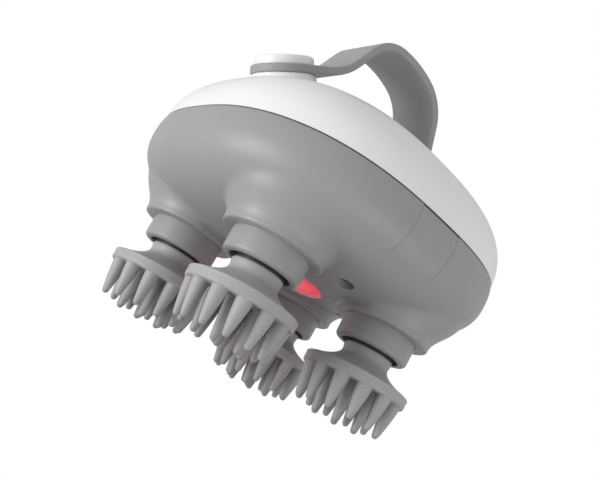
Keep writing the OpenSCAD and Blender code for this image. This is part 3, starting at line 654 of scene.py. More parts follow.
def pad_formula(x, y, z, v):
    """Neck, disc and fingers of a head, as one soft moulding round the Z axis."""
    flare_power, flare_scale = 1.9, 0.35 * MM  # the neck's foot widens by scale * (drop in mm) ** power
    swell_from, swell_to = 0.4 * MM, 2 * MM  # above the waist
    neck_slope = 0.8  # true distance from the neck's side for each unit across
    neck_round, neck_sunk, neck_blend = 0.5 * MM, 0.4 * MM, 0.8 * MM
    out = hypot(x, y)
    angle = y.math("ARCTAN2", x)
    rise = z - v["Disc Low"]
    disc = (out - v["Disc Radius"]).shared(rise - v["Disc Edge"], v["Disc Round"])
    disc = disc.shared(-rise, v["Disc Bevel"])
    flare = ((v["Waist Height"] - rise).most(0) / MM) ** flare_power * flare_scale
    wider = v["Neck Radius"] - v["Waist Radius"]
    swell = between(rise - v["Waist Height"], swell_from, swell_to) * wider
    neck = (out - v["Waist Radius"] - flare - swell) * neck_slope
    neck = neck.shared(z - v["Neck Top"], neck_round).most(v["Disc Edge"] - neck_sunk - rise)
    solid = disc.joined(neck, neck_blend)
    zero = out * 0
    centre = finger_distance(out, zero, z, zero, zero, zero, v)
    inner = ring_of_fingers(
        out, angle, z, v["Inner Fingers"], v["Inner Turn"], v["Inner Ring"], zero, zero, v
    )
    outer = ring_of_fingers(
        out, angle, z, v["Outer Fingers"], zero, v["Outer Ring"], v["Outer Lean"], v["Outer Low"], v
    )
    return solid.joined(centre.least(inner).least(outer), v["Fillet"])


def field_tree(name, distance):
    """A modifier group that meshes the zero level of a distance group and pulls each point onto it."""
    step = 0.05 * MM  # for the slopes of the distance
    passes = 2
    flattest = 0.05  # keeps a pull short where the distance hardly changes
    labels = [
        item.name
        for item in distance.interface.items_tree
        if item.in_out == "INPUT" and item.name != "Point"
    ]
    inputs = [("Geometry", "NodeSocketGeometry")]
    inputs += [(label, "NodeSocketFloat") for label in labels]
    inputs += [("Low Corner", "NodeSocketVector"), ("High Corner", "NodeSocketVector")]
    inputs += [("Voxel", "NodeSocketFloat"), ("Material", "NodeSocketMaterial")]
    tree, source, sink = geometry_group(name, inputs, [("Geometry", "NodeSocketGeometry")])
    place = tree.nodes.new("GeometryNodeInputPosition").outputs[0]

    def at(point):
        """The distance at a point."""
        node = tree.nodes.new("GeometryNodeGroup")
        node.node_tree = distance
        put(tree, node.inputs["Point"], point)
        for label in labels:
            put(tree, node.inputs[label], source.outputs[label])
        return Value(tree, node.outputs[0])

    def vector(operation, first, second):
        """Two vectors, or a vector and its scale, through one Vector Math node."""
        node = tree.nodes.new("ShaderNodeVectorMath")
        node.operation = operation
        put(tree, node.inputs[0], first)
        if operation == "SCALE":
            put(tree, node.inputs["Scale"], second)
        else:
            put(tree, node.inputs[1], second)
        return node.outputs["Value" if operation == "DOT_PRODUCT" else "Vector"]

    here = at(place)
    size = vector("SUBTRACT", source.outputs["High Corner"], source.outputs["Low Corner"])
    split = tree.nodes.new("ShaderNodeSeparateXYZ")
    put(tree, split.inputs[0], size)
    cube = tree.nodes.new("GeometryNodeVolumeCube")
    put(tree, cube.inputs["Density"], -here)
    put(tree, cube.inputs["Background"], -1.0)
    put(tree, cube.inputs["Min"], source.outputs["Low Corner"])
    put(tree, cube.inputs["Max"], source.outputs["High Corner"])
    for axis in range(3):
        cells = Value(tree, split.outputs[axis]) / Value(tree, source.outputs["Voxel"])
        put(tree, cube.inputs["Resolution " + "XYZ"[axis]], cells)
    mesher = tree.nodes.new("GeometryNodeVolumeToMesh")
    put(tree, mesher.inputs["Threshold"], 0.0)
    put(tree, mesher.inputs["Volume"], cube.outputs[0])
    geometry = mesher.outputs[0]
    for _ in range(passes):
        slopes = []
        for axis in range(3):
            ahead = vector("ADD", place, [step if k == axis else 0 for k in range(3)])
            slopes.append((at(ahead) - here) / step)
        join = tree.nodes.new("ShaderNodeCombineXYZ")
        for socket, slope in zip(join.inputs, slopes):
            put(tree, socket, slope)
        steep = Value(tree, vector("DOT_PRODUCT", join.outputs[0], join.outputs[0])).most(flattest)
        pull = vector("SCALE", join.outputs[0], -here / steep)
        settle = tree.nodes.new("GeometryNodeSetPosition")
        put(tree, settle.inputs["Geometry"], geometry)
        put(tree, settle.inputs["Offset"], pull)
        geometry = settle.outputs[0]
    finish_tree(tree, geometry, source.outputs["Material"], sink)
    return tree


def finish_tree(tree, geometry, material, sink):
    """Smooth shading, Realize Instances and Set Material at the end of a tree."""
    smooth = tree.nodes.new("GeometryNodeSetShadeSmooth")
    put(tree, smooth.inputs["Geometry"], geometry)
    realize = tree.nodes.new("GeometryNodeRealizeInstances")
    put(tree, realize.inputs["Geometry"], smooth.outputs[0])
    coat = tree.nodes.new("GeometryNodeSetMaterial")
    put(tree, coat.inputs["Geometry"], realize.outputs[0])
    put(tree, coat.inputs["Material"], material)
    put(tree, sink.inputs["Geometry"], coat.outputs[0])


def run_tree(name, tree, values, carrier=None):
    """Runs a Geometry Nodes group with these input values and keeps what it makes as a plain mesh."""
    piece = new_piece(name, carrier or bpy.data.meshes.new(name))
    modifier = piece.modifiers.new("Form", "NODES")
    modifier.node_group = tree
    sockets = [item for item in tree.interface.items_tree if item.in_out == "INPUT"]
    known = {item.name: item.identifier for item in sockets}
    for label, value in values.items():
        modifier[known[label]] = value
    apply_modifiers(piece)
    return piece


def run_field(name, inputs, formula, values, low, high, voxel, material):
    """A solid meshed from a distance formula inside a box."""
    distance = distance_group(f"{name} distance", inputs, formula)
    tree = field_tree(f"{name} form", distance)
    values = dict(zip(inputs, values))
    values.update({"Low Corner": low, "High Corner": high, "Voxel": voxel, "Material": material})
    piece = run_tree(name, tree, values)
    work = bmesh.new()
    work.from_mesh(piece.data)
    if work.calc_volume(signed=True) < 0:
        bmesh.ops.reverse_faces(work, faces=work.faces)
        work.to_mesh(piece.data)
    work.free()
    return piece


# Shader groups and materials


def shader_group(name, inputs, outputs, build):
    """A shared shader group, made once, with inputs of (name, socket type, default)."""
    if name in bpy.data.node_groups:
        return bpy.data.node_groups[name]
    tree = bpy.data.node_groups.new(name, "ShaderNodeTree")
    for label, kind, default in inputs:
        socket = tree.interface.new_socket(label, in_out="INPUT", socket_type=kind)
        socket.default_value = default
    for label, kind in outputs:
        tree.interface.new_socket(label, in_out="OUTPUT", socket_type=kind)
    build(tree, tree.nodes.new("NodeGroupInput").outputs, tree.nodes.new("NodeGroupOutput").inputs)
    return tree


def noise(tree, point, scale, detail, roughness=0.5):
    """A noise texture's value at a point."""
    node = tree.nodes.new("ShaderNodeTexNoise")
    tree.links.new(point, node.inputs["Vector"])
    put(tree, node.inputs["Scale"], scale)
    node.inputs["Detail"].default_value = detail
    node.inputs["Roughness"].default_value = roughness
    return node.outputs["Fac"]


def remap(tree, value, low, high, start, end):
    """A value taken from one range to another and held inside it."""
    node = tree.nodes.new("ShaderNodeMapRange")
    for socket, number_in in zip(node.inputs, (value, low, high, start, end)):
        put(tree, socket, number_in)
    return node.outputs[0]


def build_moulded(tree, given, out):
    """Fine moulding grain as a normal, with faint clouds in the colour and in the roughness."""
    point = tree.nodes.new("ShaderNodeTexCoord").outputs["Object"]
    cloud = noise(tree, point, scale=42, detail=3)
    speck = noise(tree, point, scale=1900, detail=2)
    clouds = Value(tree, remap(tree, cloud, low=0.3, high=0.7, start=-1, end=1))
    specks = Value(tree, remap(tree, speck, low=0.3, high=0.7, start=-1, end=1))
    shade_by = clouds * Value(tree, given["Cloud"]) + specks * Value(tree, given["Speck"])
    tone = tree.nodes.new("ShaderNodeHueSaturation")
    put(tree, tone.inputs["Value"], shade_by + 1)
    put(tree, tone.inputs["Color"], given["Colour"])
    put(tree, out["Colour"], tone.outputs[0])
    handled = noise(tree, point, scale=130, detail=4, roughness=0.62)
    uneven = Value(tree, remap(tree, handled, low=0.35, high=0.7, start=-0.04, end=0.06))
    put(tree, out["Roughness"], uneven + Value(tree, given["Roughness"]))
    grain = noise(tree, point, scale=given["Grain Scale"], detail=3, roughness=0.6)
    bump = tree.nodes.new("ShaderNodeBump")
    put(tree, bump.inputs["Height"], grain)
    put(tree, bump.inputs["Strength"], given["Grain"])
    bump.inputs["Distance"].default_value = 0.06 * MM
    put(tree, out["Normal"], bump.outputs[0])


def moulded_group():
    """The shared group for moulded plastic and silicone."""
    return shader_group(
        "Moulded surface",
        [
            ("Colour", "NodeSocketColor", (0.5, 0.5, 0.5, 1)),
            ("Cloud", "NodeSocketFloat", 0.02),
            ("Speck", "NodeSocketFloat", 0.01),
            ("Roughness", "NodeSocketFloat", 0.4),
            ("Grain Scale", "NodeSocketFloat", 2600),
            ("Grain", "NodeSocketFloat", 0.2),
        ],
        [("Colour", "NodeSocketColor"), ("Roughness", "NodeSocketFloat"), ("Normal", "NodeSocketVector")],
        build_moulded,
    )


def build_machined(tree, given, out):
    """Fine turning lines round the Z axis, with stains in the colour."""
    point = tree.nodes.new("ShaderNodeTexCoord").outputs["Object"]
    stretch = tree.nodes.new("ShaderNodeMapping")
    stretch.inputs["Scale"].default_value = (1, 1, 14)
    tree.links.new(point, stretch.inputs["Vector"])
    lines = noise(tree, stretch.outputs[0], scale=given["Line Scale"], detail=4, roughness=0.7)
    stain = noise(tree, point, scale=90, detail=4)
    tone = tree.nodes.new("ShaderNodeHueSaturation")
    put(tree, tone.inputs["Value"], remap(tree, stain, low=0.3, high=0.7, start=0.82, end=1.08))
    put(tree, tone.inputs["Color"], given["Colour"])
    put(tree, out["Colour"], tone.outputs[0])
    put(tree, out["Roughness"], remap(tree, lines, low=0.3, high=0.7, start=0.2, end=0.42))
    bump = tree.nodes.new("ShaderNodeBump")
    put(tree, bump.inputs["Height"], lines)
    bump.inputs["Strength"].default_value = 0.25
    bump.inputs["Distance"].default_value = 0.03 * MM
    put(tree, out["Normal"], bump.outputs[0])


def machined_group():
    """The shared group for steel and bronze."""
    return shader_group(
        "Machined surface",
        [("Colour", "NodeSocketColor", (0.6, 0.6, 0.6, 1)), ("Line Scale", "NodeSocketFloat", 700)],
        [("Colour", "NodeSocketColor"), ("Roughness", "NodeSocketFloat"), ("Normal", "NodeSocketVector")],
        build_machined,
    )


def colours():
    """The colours in use."""
    return bpy.context.scene.massager_finish


def surface(name, tint, group, settings, constants):
    """A material whose colour, roughness and normal come from a shared group."""
    if name in bpy.data.materials:
        return bpy.data.materials[name]
    material = bpy.data.materials.new(name)
    material.use_nodes = True
    tree = material.node_tree
    shader = tree.nodes["Principled BSDF"]
    node = tree.nodes.new("ShaderNodeGroup")
    node.node_tree = group
    node.inputs["Colour"].default_value = (*tint, 1)
    for label, value in settings.items():
        node.inputs[label].default_value = value
    tree.links.new(node.outputs["Colour"], shader.inputs["Base Color"])
    tree.links.new(node.outputs["Roughness"], shader.inputs["Roughness"])
    tree.links.new(node.outputs["Normal"], shader.inputs["Normal"])
    for label, value in constants.items():
        shader.inputs[label].default_value = value
    material.diffuse_color = (*tint, 1)
    return material


def white_plastic():
    """Upper shell, button and its sleeve."""
    return surface(
        "Satin white plastic", colours().dome, moulded_group(),
        {"Roughness": 0.34, "Grain": 0.1, "Cloud": 0.008, "Speck": 0.006},
        {"Coat Weight": 0.12, "Coat Roughness": 0.22, "Specular IOR Level": 0.45},
    )


def grey_plastic():
    """Lower shell, port cover, collars and the plates inside."""
    return surface(
        "Satin grey plastic", colours().belly, moulded_group(),
        {"Roughness": 0.42, "Grain": 0.16, "Cloud": 0.015, "Speck": 0.02},
        {"Specular IOR Level": 0.45},
    )


def grey_silicone():
    """Soft heads."""
    return surface(
        "Grey silicone", colours().heads, moulded_group(),
        {"Roughness": 0.52, "Grain": 0.12, "Cloud": 0.03, "Speck": 0.03, "Grain Scale": 3400},
        {"Sheen Weight": 0.12, "Sheen Roughness": 0.4, "Specular IOR Level": 0.42},
    )


def strap_silicone():
    """Finger strap."""
    return surface(
        "Strap silicone", colours().strap, moulded_group(),
        {"Roughness": 0.5, "Grain": 0.14, "Cloud": 0.03, "Speck": 0.03, "Grain Scale": 3000},
        {"Sheen Weight": 0.1, "Sheen Roughness": 0.4, "Specular IOR Level": 0.42},
    )


def dark_rubber():
    """Ring between the shells and seals round the necks."""
    return surface(
        "Dark rubber", colours().rubber, moulded_group(),
        {"Roughness": 0.6, "Grain": 0.3, "Cloud": 0.1, "Speck": 0.08},
        {"Specular IOR Level": 0.4},
    )


def dark_plastic_and_painted_shade():
    """Neck cores, switch, battery tray and port lining; on the neck cores this dark colour is painted shade
    inside the collars' mouths.
    """
    return surface(
        "Dark plastic", colours().inside, moulded_group(),
        {"Roughness": 0.45, "Grain": 0.2, "Cloud": 0.05, "Speck": 0.05}, {},
    )


def gear_plastic():
    """Gears."""
    return surface(
        "Gear plastic", colours().gears, moulded_group(),
        {"Roughness": 0.4, "Grain": 0.1, "Cloud": 0.03, "Speck": 0.02},
        {"Subsurface Weight": 0.1, "Subsurface Radius": (0.002, 0.0018, 0.0012)},
    )


def board_green():
    """Circuit boards."""
    return surface(
        "Circuit board", colours().boards, moulded_group(),
        {"Roughness": 0.3, "Grain": 0.25, "Cloud": 0.12, "Speck": 0.15, "Grain Scale": 900},
        {"Coat Weight": 0.4, "Coat Roughness": 0.15},
    )


def cell_wrap():
    """Battery."""
    return surface(
        "Cell wrap", colours().cell, moulded_group(),
        {"Roughness": 0.25, "Grain": 0.2, "Cloud": 0.05, "Speck": 0.02, "Grain Scale": 500},
        {"Coat Weight": 0.3, "Coat Roughness": 0.1},
    )


def steel():
    """Spindles, arbors, screws, motor and socket."""
    return surface(
        "Turned steel", colours().steel, machined_group(), {"Line Scale": 700.0}, {"Metallic": 1.0}
    )


def bronze():
    """Bushes."""
    return surface(
        "Sintered bronze", colours().bronze, machined_group(), {"Line Scale": 1500.0}, {"Metallic": 1.0}
    )


def build_glow(tree, given, out):
    """A lit window: bright in the middle and deeper towards its edge, with a faint haze."""
    point = tree.nodes.new("ShaderNodeTexCoord").outputs["Object"]
    split = tree.nodes.new("ShaderNodeSeparateXYZ")
    tree.links.new(point, split.inputs[0])
    x, y = Value(tree, split.outputs[0]), Value(tree, split.outputs[1])
    share = hypot(x, y) / Value(tree, given["Radius"])
    fade = tree.nodes.new("ShaderNodeMix")
    fade.data_type = "RGBA"
    put(tree, fade.inputs["Factor"], remap(tree, share, low=0.3, high=1.0, start=0, end=1))
    put(tree, fade.inputs["A"], given["Middle"])
    put(tree, fade.inputs["B"], given["Edge"])
    haze = noise(tree, point, scale=260, detail=3)
    tone = tree.nodes.new("ShaderNodeHueSaturation")
    put(tree, tone.inputs["Value"], remap(tree, haze, low=0.3, high=0.7, start=0.93, end=1.05))
    put(tree, tone.inputs["Color"], fade.outputs["Result"])
    put(tree, out["Colour"], tone.outputs[0])


def red_lens():
    """The glowing red window."""
    if "Red window" in bpy.data.materials:
        return bpy.data.materials["Red window"]
    group = shader_group(
        "Lit window",
        [
            ("Middle", "NodeSocketColor", (*colours().window, 1)),
            ("Edge", "NodeSocketColor", (*colours().window_edge, 1)),
            ("Radius", "NodeSocketFloat", 13.5 * MM),
        ],
        [("Colour", "NodeSocketColor")],
        build_glow,
    )
    material = bpy.data.materials.new("Red window")
    material.use_nodes = True
    tree = material.node_tree
    shader = tree.nodes["Principled BSDF"]
    node = tree.nodes.new("ShaderNodeGroup")
    node.node_tree = group
    tree.links.new(node.outputs[0], shader.inputs["Base Color"])
    tree.links.new(node.outputs[0], shader.inputs["Emission Color"])
    shader.inputs["Emission Strength"].default_value = colours().window_light
    shader.inputs["Roughness"].default_value = 0.2
    shader.inputs["Coat Weight"].default_value = 0.3
    return material


# Pieces


def make_belly(name, material):
    """The belly and its bosses as one solid, made to a little above the parting line and not yet cut."""
    shell = bpy.context.scene.massager_shell
    seam = seam_height()
    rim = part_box("bottom_shell")[0].z
    margin = 3 * shell.voxel
    over = 4 * MM
    values = (
        shell.half_width, shell.belly_depth, seam - shell.bulge_drop, shell.plan_power, shell.belly_power,
        abs(head_place(1).x), shell.boss_r, rim, shell.boss_spread, shell.boss_round, shell.blend,
    )
    reach = shell.half_width + margin
    return run_field(
        name, BELLY_INPUTS, belly_formula, values,
        (-reach, -reach, rim - margin), (reach, reach, seam + over), shell.voxel, material,
    )


def side_share(n, count):
    """Share of a shell's height at level n, with the levels closer where it turns over."""
    spacing = 0.8
    last = 0.9995  # the last level has to stop short of the pole
    return math.sin(math.pi / 2 * n / count) ** spacing * last


def belly_cavity(levels=20):
    """The space inside the lower shell."""
    shell = bpy.context.scene.massager_shell
    half, deep = shell.half_width - shell.wall, shell.belly_depth - shell.wall
    seam = seam_height()
    rings = []
    for n in range(levels, -1, -1):
        depth = -OVERRUN + (deep + shell.bulge_drop + OVERRUN) * side_share(n, levels)
        off = abs(depth - shell.bulge_drop) / deep
        rings.append((half * (1 - off**shell.belly_power) ** (1 / shell.belly_power), seam - depth))
    return loft("belly_cavity", rings, shell.plan_power)


def plug(name, radius, low, high, x=0.0, y=0.0):
    """A round upright cutter from a height to another at a place in the plan."""
    outline = [(0, low), (radius, low), (radius, high), (0, high)]
    return moved(lathe(name, outline), Matrix.Translation((x, y, 0)))


def radius_of(node):
    """Radius of a round upright CAD node, from its box."""
    low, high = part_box(node)
    return (high.x - low.x) / 2


def make_lower_shell():
    """The grey lower shell with its seats, recesses and port opening."""
    shell = bpy.context.scene.massager_shell
    seam = seam_height()
    seam_gap = 0.25 * MM
    seat_gap = 0.12 * MM
    port_side_gap, port_foot_gap = 0.1 * MM, 0.02 * MM
    port_end = -45 * MM
    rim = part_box("bottom_shell")[0].z
    solid = make_belly("lower_shell", grey_plastic())
    uncut = solid.data.copy()
    cuts = [block("above", (-FAR, -FAR, seam - seam_gap), (FAR, FAR, seam + FAR / 2)), belly_cavity()]
    for i in HEADS:
        place = head_place(i)
        seat_r = radius_of(f"collar_{i}") + seat_gap
        cuts.append(plug("collar_seat", seat_r, rim - OVERRUN, rim + shell.seat_depth, place.x, place.y))
        cuts.append(plug("bush_seat", BUSH_SEAT_R, rim, seam, place.x, place.y))
    # No recess shows on the button's side, so that one stays closed.
    for spot in ((shell.screw_ring_r, 0), (0, shell.screw_ring_r), (0, -shell.screw_ring_r)):
        cuts.append(plug("screw_recess", shell.screw_hole_r, rim - OVERRUN, shell.screw_hole_top, *spot))
    lens_low, lens_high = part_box("light_lens")
    lens_r = lens_high.x
    below_lens = lens_low.z - 2 * OVERRUN
    cuts.append(plug("lens_seat", lens_r + LENS_GAP, below_lens, lens_low.z + LENS_RIM))
    cuts.append(plug("lens_hole", lens_r - LENS_STEP + LENS_GAP, below_lens, seam))
    cover_low, cover_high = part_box("port_cover")
    port_low = (cover_low.x - port_side_gap, -FAR, cover_low.z - port_foot_gap)
    cuts.append(block("port", port_low, (cover_high.x + port_side_gap, port_end, seam)))
    shade(carve(solid, cuts))
    paint(solid, grey_plastic())
    hand_over(solid, "housing", ["bottom_shell"])
    make_port_cover(uncut)


def make_port_cover(belly):
    """The cover in the port's opening, cut from the uncut belly, with a knuckle round its pin."""
    thick = 1.6 * MM
    window_end = -30 * MM
    knuckle_r = 1 * MM
    knuckle_edge = 0.15 * MM
    knuckle_sunk = 0.05 * MM
    cover_low, cover_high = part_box("port_cover")
    cover = new_piece("cover", belly)
    inner = moved(belly.copy(), Matrix.Translation((0, thick, 0)))
    outer = moved(belly.copy(), Matrix.Translation((0, knuckle_sunk, knuckle_sunk)))
    window_low = (cover_low.x, -FAR, cover_low.z)
    window = block("cover_window", window_low, (cover_high.x, window_end, cover_high.z))
    carve(cover, [window], "INTERSECT")
    carve(cover, [inner])
    barrel = lathe("knuckle", fillet([
        (0, cover_low.x, 0),
        (knuckle_r, cover_low.x, knuckle_edge),
        (knuckle_r, cover_high.x, knuckle_edge),
        (0, cover_high.x, 0),
    ]), steps=48)
    pin = joint("cover_swing")["pos_m"]
    place = Matrix.Translation((0, pin[1], pin[2])) @ Matrix.Rotation(math.pi / 2, 4, "Y")
    knuckle = new_piece("knuckle", moved(barrel, place))
    carve(knuckle, [outer], "INTERSECT")
    carve(cover, [knuckle.data], "UNION")
    bpy.data.objects.remove(knuckle)
    shade(cover)
    paint(cover, grey_plastic())
    hand_over(cover, "cover", ["port_cover"])


def make_upper_shell():
    """The white dome with the button's seat and the strap's slot."""
    shell = bpy.context.scene.massager_shell
    seam = seam_height()
    seat = button_frame()
    axis = seat.col[2]
    half = seam_half_width()
    margin = 3 * shell.voxel
    values = (
        half, shell.dome_height, seam, shell.plan_power, shell.dome_power,
        seat.translation.x, seat.translation.z, axis[0], axis[2],
        shell.pedestal_top_r, shell.pedestal_low_r, shell.pedestal_h, shell.pedestal_blend,
        shell.edge_break,
    )
    reach = half + margin
    low, high = (-reach, -reach, seam - 3 * MM), (reach, reach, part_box("top_shell")[1].z + margin)
    dome = run_field(
        "upper_shell", DOME_INPUTS, dome_formula, values, low, high, shell.voxel, white_plastic()
    )
    seam_gap = 0.25 * MM
    below = block("below", (-FAR, -FAR, seam - FAR / 2), (FAR, FAR, seam + seam_gap))
    shade(carve(dome, [below, dome_cavity(), moved(sleeve_bore(), seat), strap_slot()]))
    paint(dome, white_plastic())
    hand_over(dome, "housing", ["top_shell"])


def dome_cavity(levels=20):
    """The space inside the dome."""
    shell = bpy.context.scene.massager_shell
    half, height = seam_half_width() - shell.wall, shell.dome_height - shell.wall
    seam = seam_height()
    rings = []
    for n in range(levels + 1):
        rise = -OVERRUN + (height + OVERRUN) * side_share(n, levels)
        share = abs(rise) / height
        rings.append((half * (1 - share**shell.dome_power) ** (1 / shell.dome_power), seam + rise))
    return loft("dome_cavity", rings, shell.plan_power)


def sleeve_bore():
    """The hole for the button's sleeve, a little tighter than the strap's hole, in the button's frame."""
    tighter, depth, over = 0.05 * MM, 9 * MM, 3 * MM
    return plug("sleeve_bore", bpy.context.scene.massager_button.hole_r - tighter, -depth, over)


def strap_slot():
    """The slot in the dome that the strap's far end goes through."""
    strap = bpy.context.scene.massager_strap
    past_end, length_out = 4 * MM, 22 * MM
    half_thick, half_wide = strap.thick / 2 + strap.slot_gap, strap.width / 2 + strap.slot_gap
    slot = block("strap_slot", (-past_end, -half_wide, -half_thick), (length_out, half_wide, half_thick))
    foot, heading = strap_path()[-1]
    back = Matrix.Translation((foot[0], 0, foot[1])) @ Matrix.Rotation(math.pi - heading, 4, "Y")
    return moved(slot, back)


def make_gasket():
    """The dark rubber ring between the shells, set back from their outsides."""
    shell = bpy.context.scene.massager_shell
    width = 1.7 * MM
    low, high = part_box("seam_gasket")
    inside = high.x - width
    rings = [(high.x, low.z), (high.x, high.z), (inside, high.z), (inside, low.z)]
    gasket = new_piece("seam_ring", loft("seam_ring", rings, shell.plan_power, closed=True))
    shade(gasket)
    paint(gasket, dark_rubber())
    hand_over(gasket, "housing", ["seam_gasket"])


def seam_half_width():
    """Half width of both shells at the parting line."""
    shell = bpy.context.scene.massager_shell
    share = shell.bulge_drop / shell.belly_depth
    return shell.half_width * (1 - share**shell.belly_power) ** (1 / shell.belly_power)


def strap_path():
    """The strap's middle line from the button's axis into the dome, as ((x, z), heading) points."""
    strap = bpy.context.scene.massager_strap
    seat = button_frame()
    heading = math.asin(-seat.col[2][0])
    start = seat @ Vector((0, 0, strap.thick / 2))
    place = Vector((start.x, start.z))
    points = [(place.copy(), heading)]

    def straight(run):
        """Goes on in the same direction."""
        nonlocal place
        place = place + Vector((math.cos(heading), math.sin(heading))) * run
        points.append((place.copy(), heading))

    def bend(radius, angle, steps=16):
        """Goes round an arc, to the left where the angle is positive."""
        nonlocal place, heading
        for _ in range(steps):
            half = angle / steps / 2
            chord = 2 * radius * math.sin(abs(half))
            heading += half
            place = place + Vector((math.cos(heading), math.sin(heading))) * chord
            heading += half
            points.append((place.copy(), heading))

    straight(strap.flat)
    bend(strap.dip_r, strap.rise_angle - heading)
    straight(strap.rise)
    for radius, angle in zip(strap.arch_r, strap.arch_turn):
        bend(radius, -angle)
    clip_floor = 1.6 * MM
    tail_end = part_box("strap_clip")[0].z + clip_floor + strap.tail_bead
    straight((place.y - tail_end) / -math.sin(heading))
    return points


def sweep_tree():
    """A group that sweeps a rounded band along the carrier's edges."""
    inputs = [
        ("Geometry", "NodeSocketGeometry"),
        ("Width", "NodeSocketFloat"),
        ("Thickness", "NodeSocketFloat"),
        ("Edge Radius", "NodeSocketFloat"),
        ("Corner Steps", "NodeSocketInt"),
        ("Material", "NodeSocketMaterial"),
    ]
    tree, source, sink = geometry_group("Strap sweep", inputs, [("Geometry", "NodeSocketGeometry")])
    path = tree.nodes.new("GeometryNodeMeshToCurve")
    put(tree, path.inputs["Mesh"], source.outputs["Geometry"])
    outline = tree.nodes.new("GeometryNodeCurvePrimitiveQuadrilateral")
    put(tree, outline.inputs["Width"], source.outputs["Width"])
    put(tree, outline.inputs["Height"], source.outputs["Thickness"])
    soft = tree.nodes.new("GeometryNodeFilletCurve")
    soft.mode = "POLY"
    put(tree, soft.inputs["Curve"], outline.outputs[0])
    put(tree, soft.inputs["Radius"], source.outputs["Edge Radius"])
    put(tree, soft.inputs["Count"], source.outputs["Corner Steps"])
    sweep = tree.nodes.new("GeometryNodeCurveToMesh")
    put(tree, sweep.inputs["Curve"], path.outputs[0])
    put(tree, sweep.inputs["Profile Curve"], soft.outputs[0])
    sweep.inputs["Fill Caps"].default_value = True
    finish_tree(tree, sweep.outputs[0], source.outputs["Material"], sink)
    return tree


def strap_ring():
    """The solid ring at the strap's button end, in the button's frame."""
    button = bpy.context.scene.massager_button
    strap = bpy.context.scene.massager_strap
    low_edge = 0.3 * MM
    return lathe("ring", fillet([
        (0, 0, 0), (button.ring_r, 0, low_edge), (button.ring_r, strap.thick, strap.edge_r),
        (0, strap.thick, 0),
    ]))


def ring_hollow():
    """The stepped hole through the strap's ring, in the button's frame."""
    button = bpy.context.scene.massager_button
    top = bpy.context.scene.massager_strap.thick + OVERRUN
    return lathe("hollow", [
        (0, -OVERRUN), (button.hole_r, -OVERRUN), (button.hole_r, button.ledge),
        (button.ledge_r, button.ledge), (button.ledge_r, top), (0, top),
    ])


def tail_bead(end):
    """The bead across the strap's far end."""
    strap = bpy.context.scene.massager_strap
    half = strap.width / 2
    bead = lathe("bead", fillet([
        (0, -half, 0), (strap.tail_bead, -half, strap.edge_r), (strap.tail_bead, half, strap.edge_r),
        (0, half, 0),
    ]), steps=48)
    return moved(bead, Matrix.Translation((end.x, 0, end.y)) @ Matrix.Rotation(math.pi / 2, 4, "X"))


def make_strap():
    """The finger strap: a band over the dome with a ring round the button and a bead at its far end."""
    strap = bpy.context.scene.massager_strap
    merge = 1e-6
    path = strap_path()
    carrier = bpy.data.meshes.new("strap")
    points = [(place.x, 0, place.y) for place, _ in path]
    carrier.from_pydata(points, [(k, k + 1) for k in range(len(points) - 1)], [])
    values = {
        "Width": strap.width, "Thickness": strap.thick, "Edge Radius": strap.edge_r, "Corner Steps": 5,
        "Material": strap_silicone(),
    }
    band = run_tree("strap", sweep_tree(), values, carrier)
    closed = bmesh.new()
    closed.from_mesh(band.data)
    bmesh.ops.remove_doubles(closed, verts=closed.verts, dist=merge)
    bmesh.ops.recalc_face_normals(closed, faces=closed.faces)
    closed.to_mesh(band.data)
    closed.free()
    seat = button_frame()
    carve(band, [moved(strap_ring(), seat), tail_bead(path[-1][0])], "UNION")
    carve(band, [moved(ring_hollow(), seat)])
    shade(band)
    paint(band, strap_silicone())
    hand_over(band, "housing", ["strap"])


def make_button():
    """The round white cap over the strap's end, with its stem and the nub that presses the switch."""
    button = bpy.context.scene.massager_button
    edge, skirt_edge = 0.2 * MM, 0.15 * MM
    crown_share, crown_steps = 0.72, 8
    corners = [
        (0, button.nub_low, 0),
        (button.nub_r, button.nub_low, edge),
        (button.nub_r, button.stem_low, 0),
        (button.stem_r, button.stem_low, edge),
        (button.stem_r, button.skirt_top, 0),
        (button.skirt_r, button.skirt_top, 0),
        (button.skirt_r, button.low, skirt_edge),
        (button.radius, button.low, edge),
        (button.radius, button.top, button.edge_r),
    ]
    for k in range(crown_steps, -1, -1):
        share = crown_share * k / crown_steps
        corners.append((button.radius * share, button.top + button.crown * (1 - share**2), 0))
    cap = new_piece("button_cap", moved(lathe("button_cap", fillet(corners)), button_frame()))
    shade(cap, TURNED_EDGE)
    paint(cap, white_plastic())
    hand_over(cap, "button", ["power_button"])


def collar_mesh(i):
    """A collar in its boss: a ring with a rounded foot, and a web in to the bush's seat."""
    low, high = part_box(f"collar_{i}")
    mouth_edge, foot_edge, foot_inset = 0.3 * MM, 1.3 * MM, 0.15 * MM
    outer, mouth = radius_of(f"collar_{i}"), collar_mouth(i)
    ring = lathe("collar", fillet([
        (mouth, low.z, mouth_edge), (outer - foot_inset, low.z, foot_edge), (outer, high.z, 0),
        (mouth, high.z, 0),
    ], steps=10))
    web_low, web_r = high.z - 1.5 * MM, mouth + 0.4 * MM
    web = lathe("web", [(web_r, web_low), (web_r, high.z), (BUSH_SEAT_R, high.z), (BUSH_SEAT_R, web_low)])
    return ring, web


def collar_mouth(i):
    """Radius of a collar's mouth: the seal in it and a small gap."""
    gap = 0.05 * MM
    return radius_of(f"seal_{i}") + gap


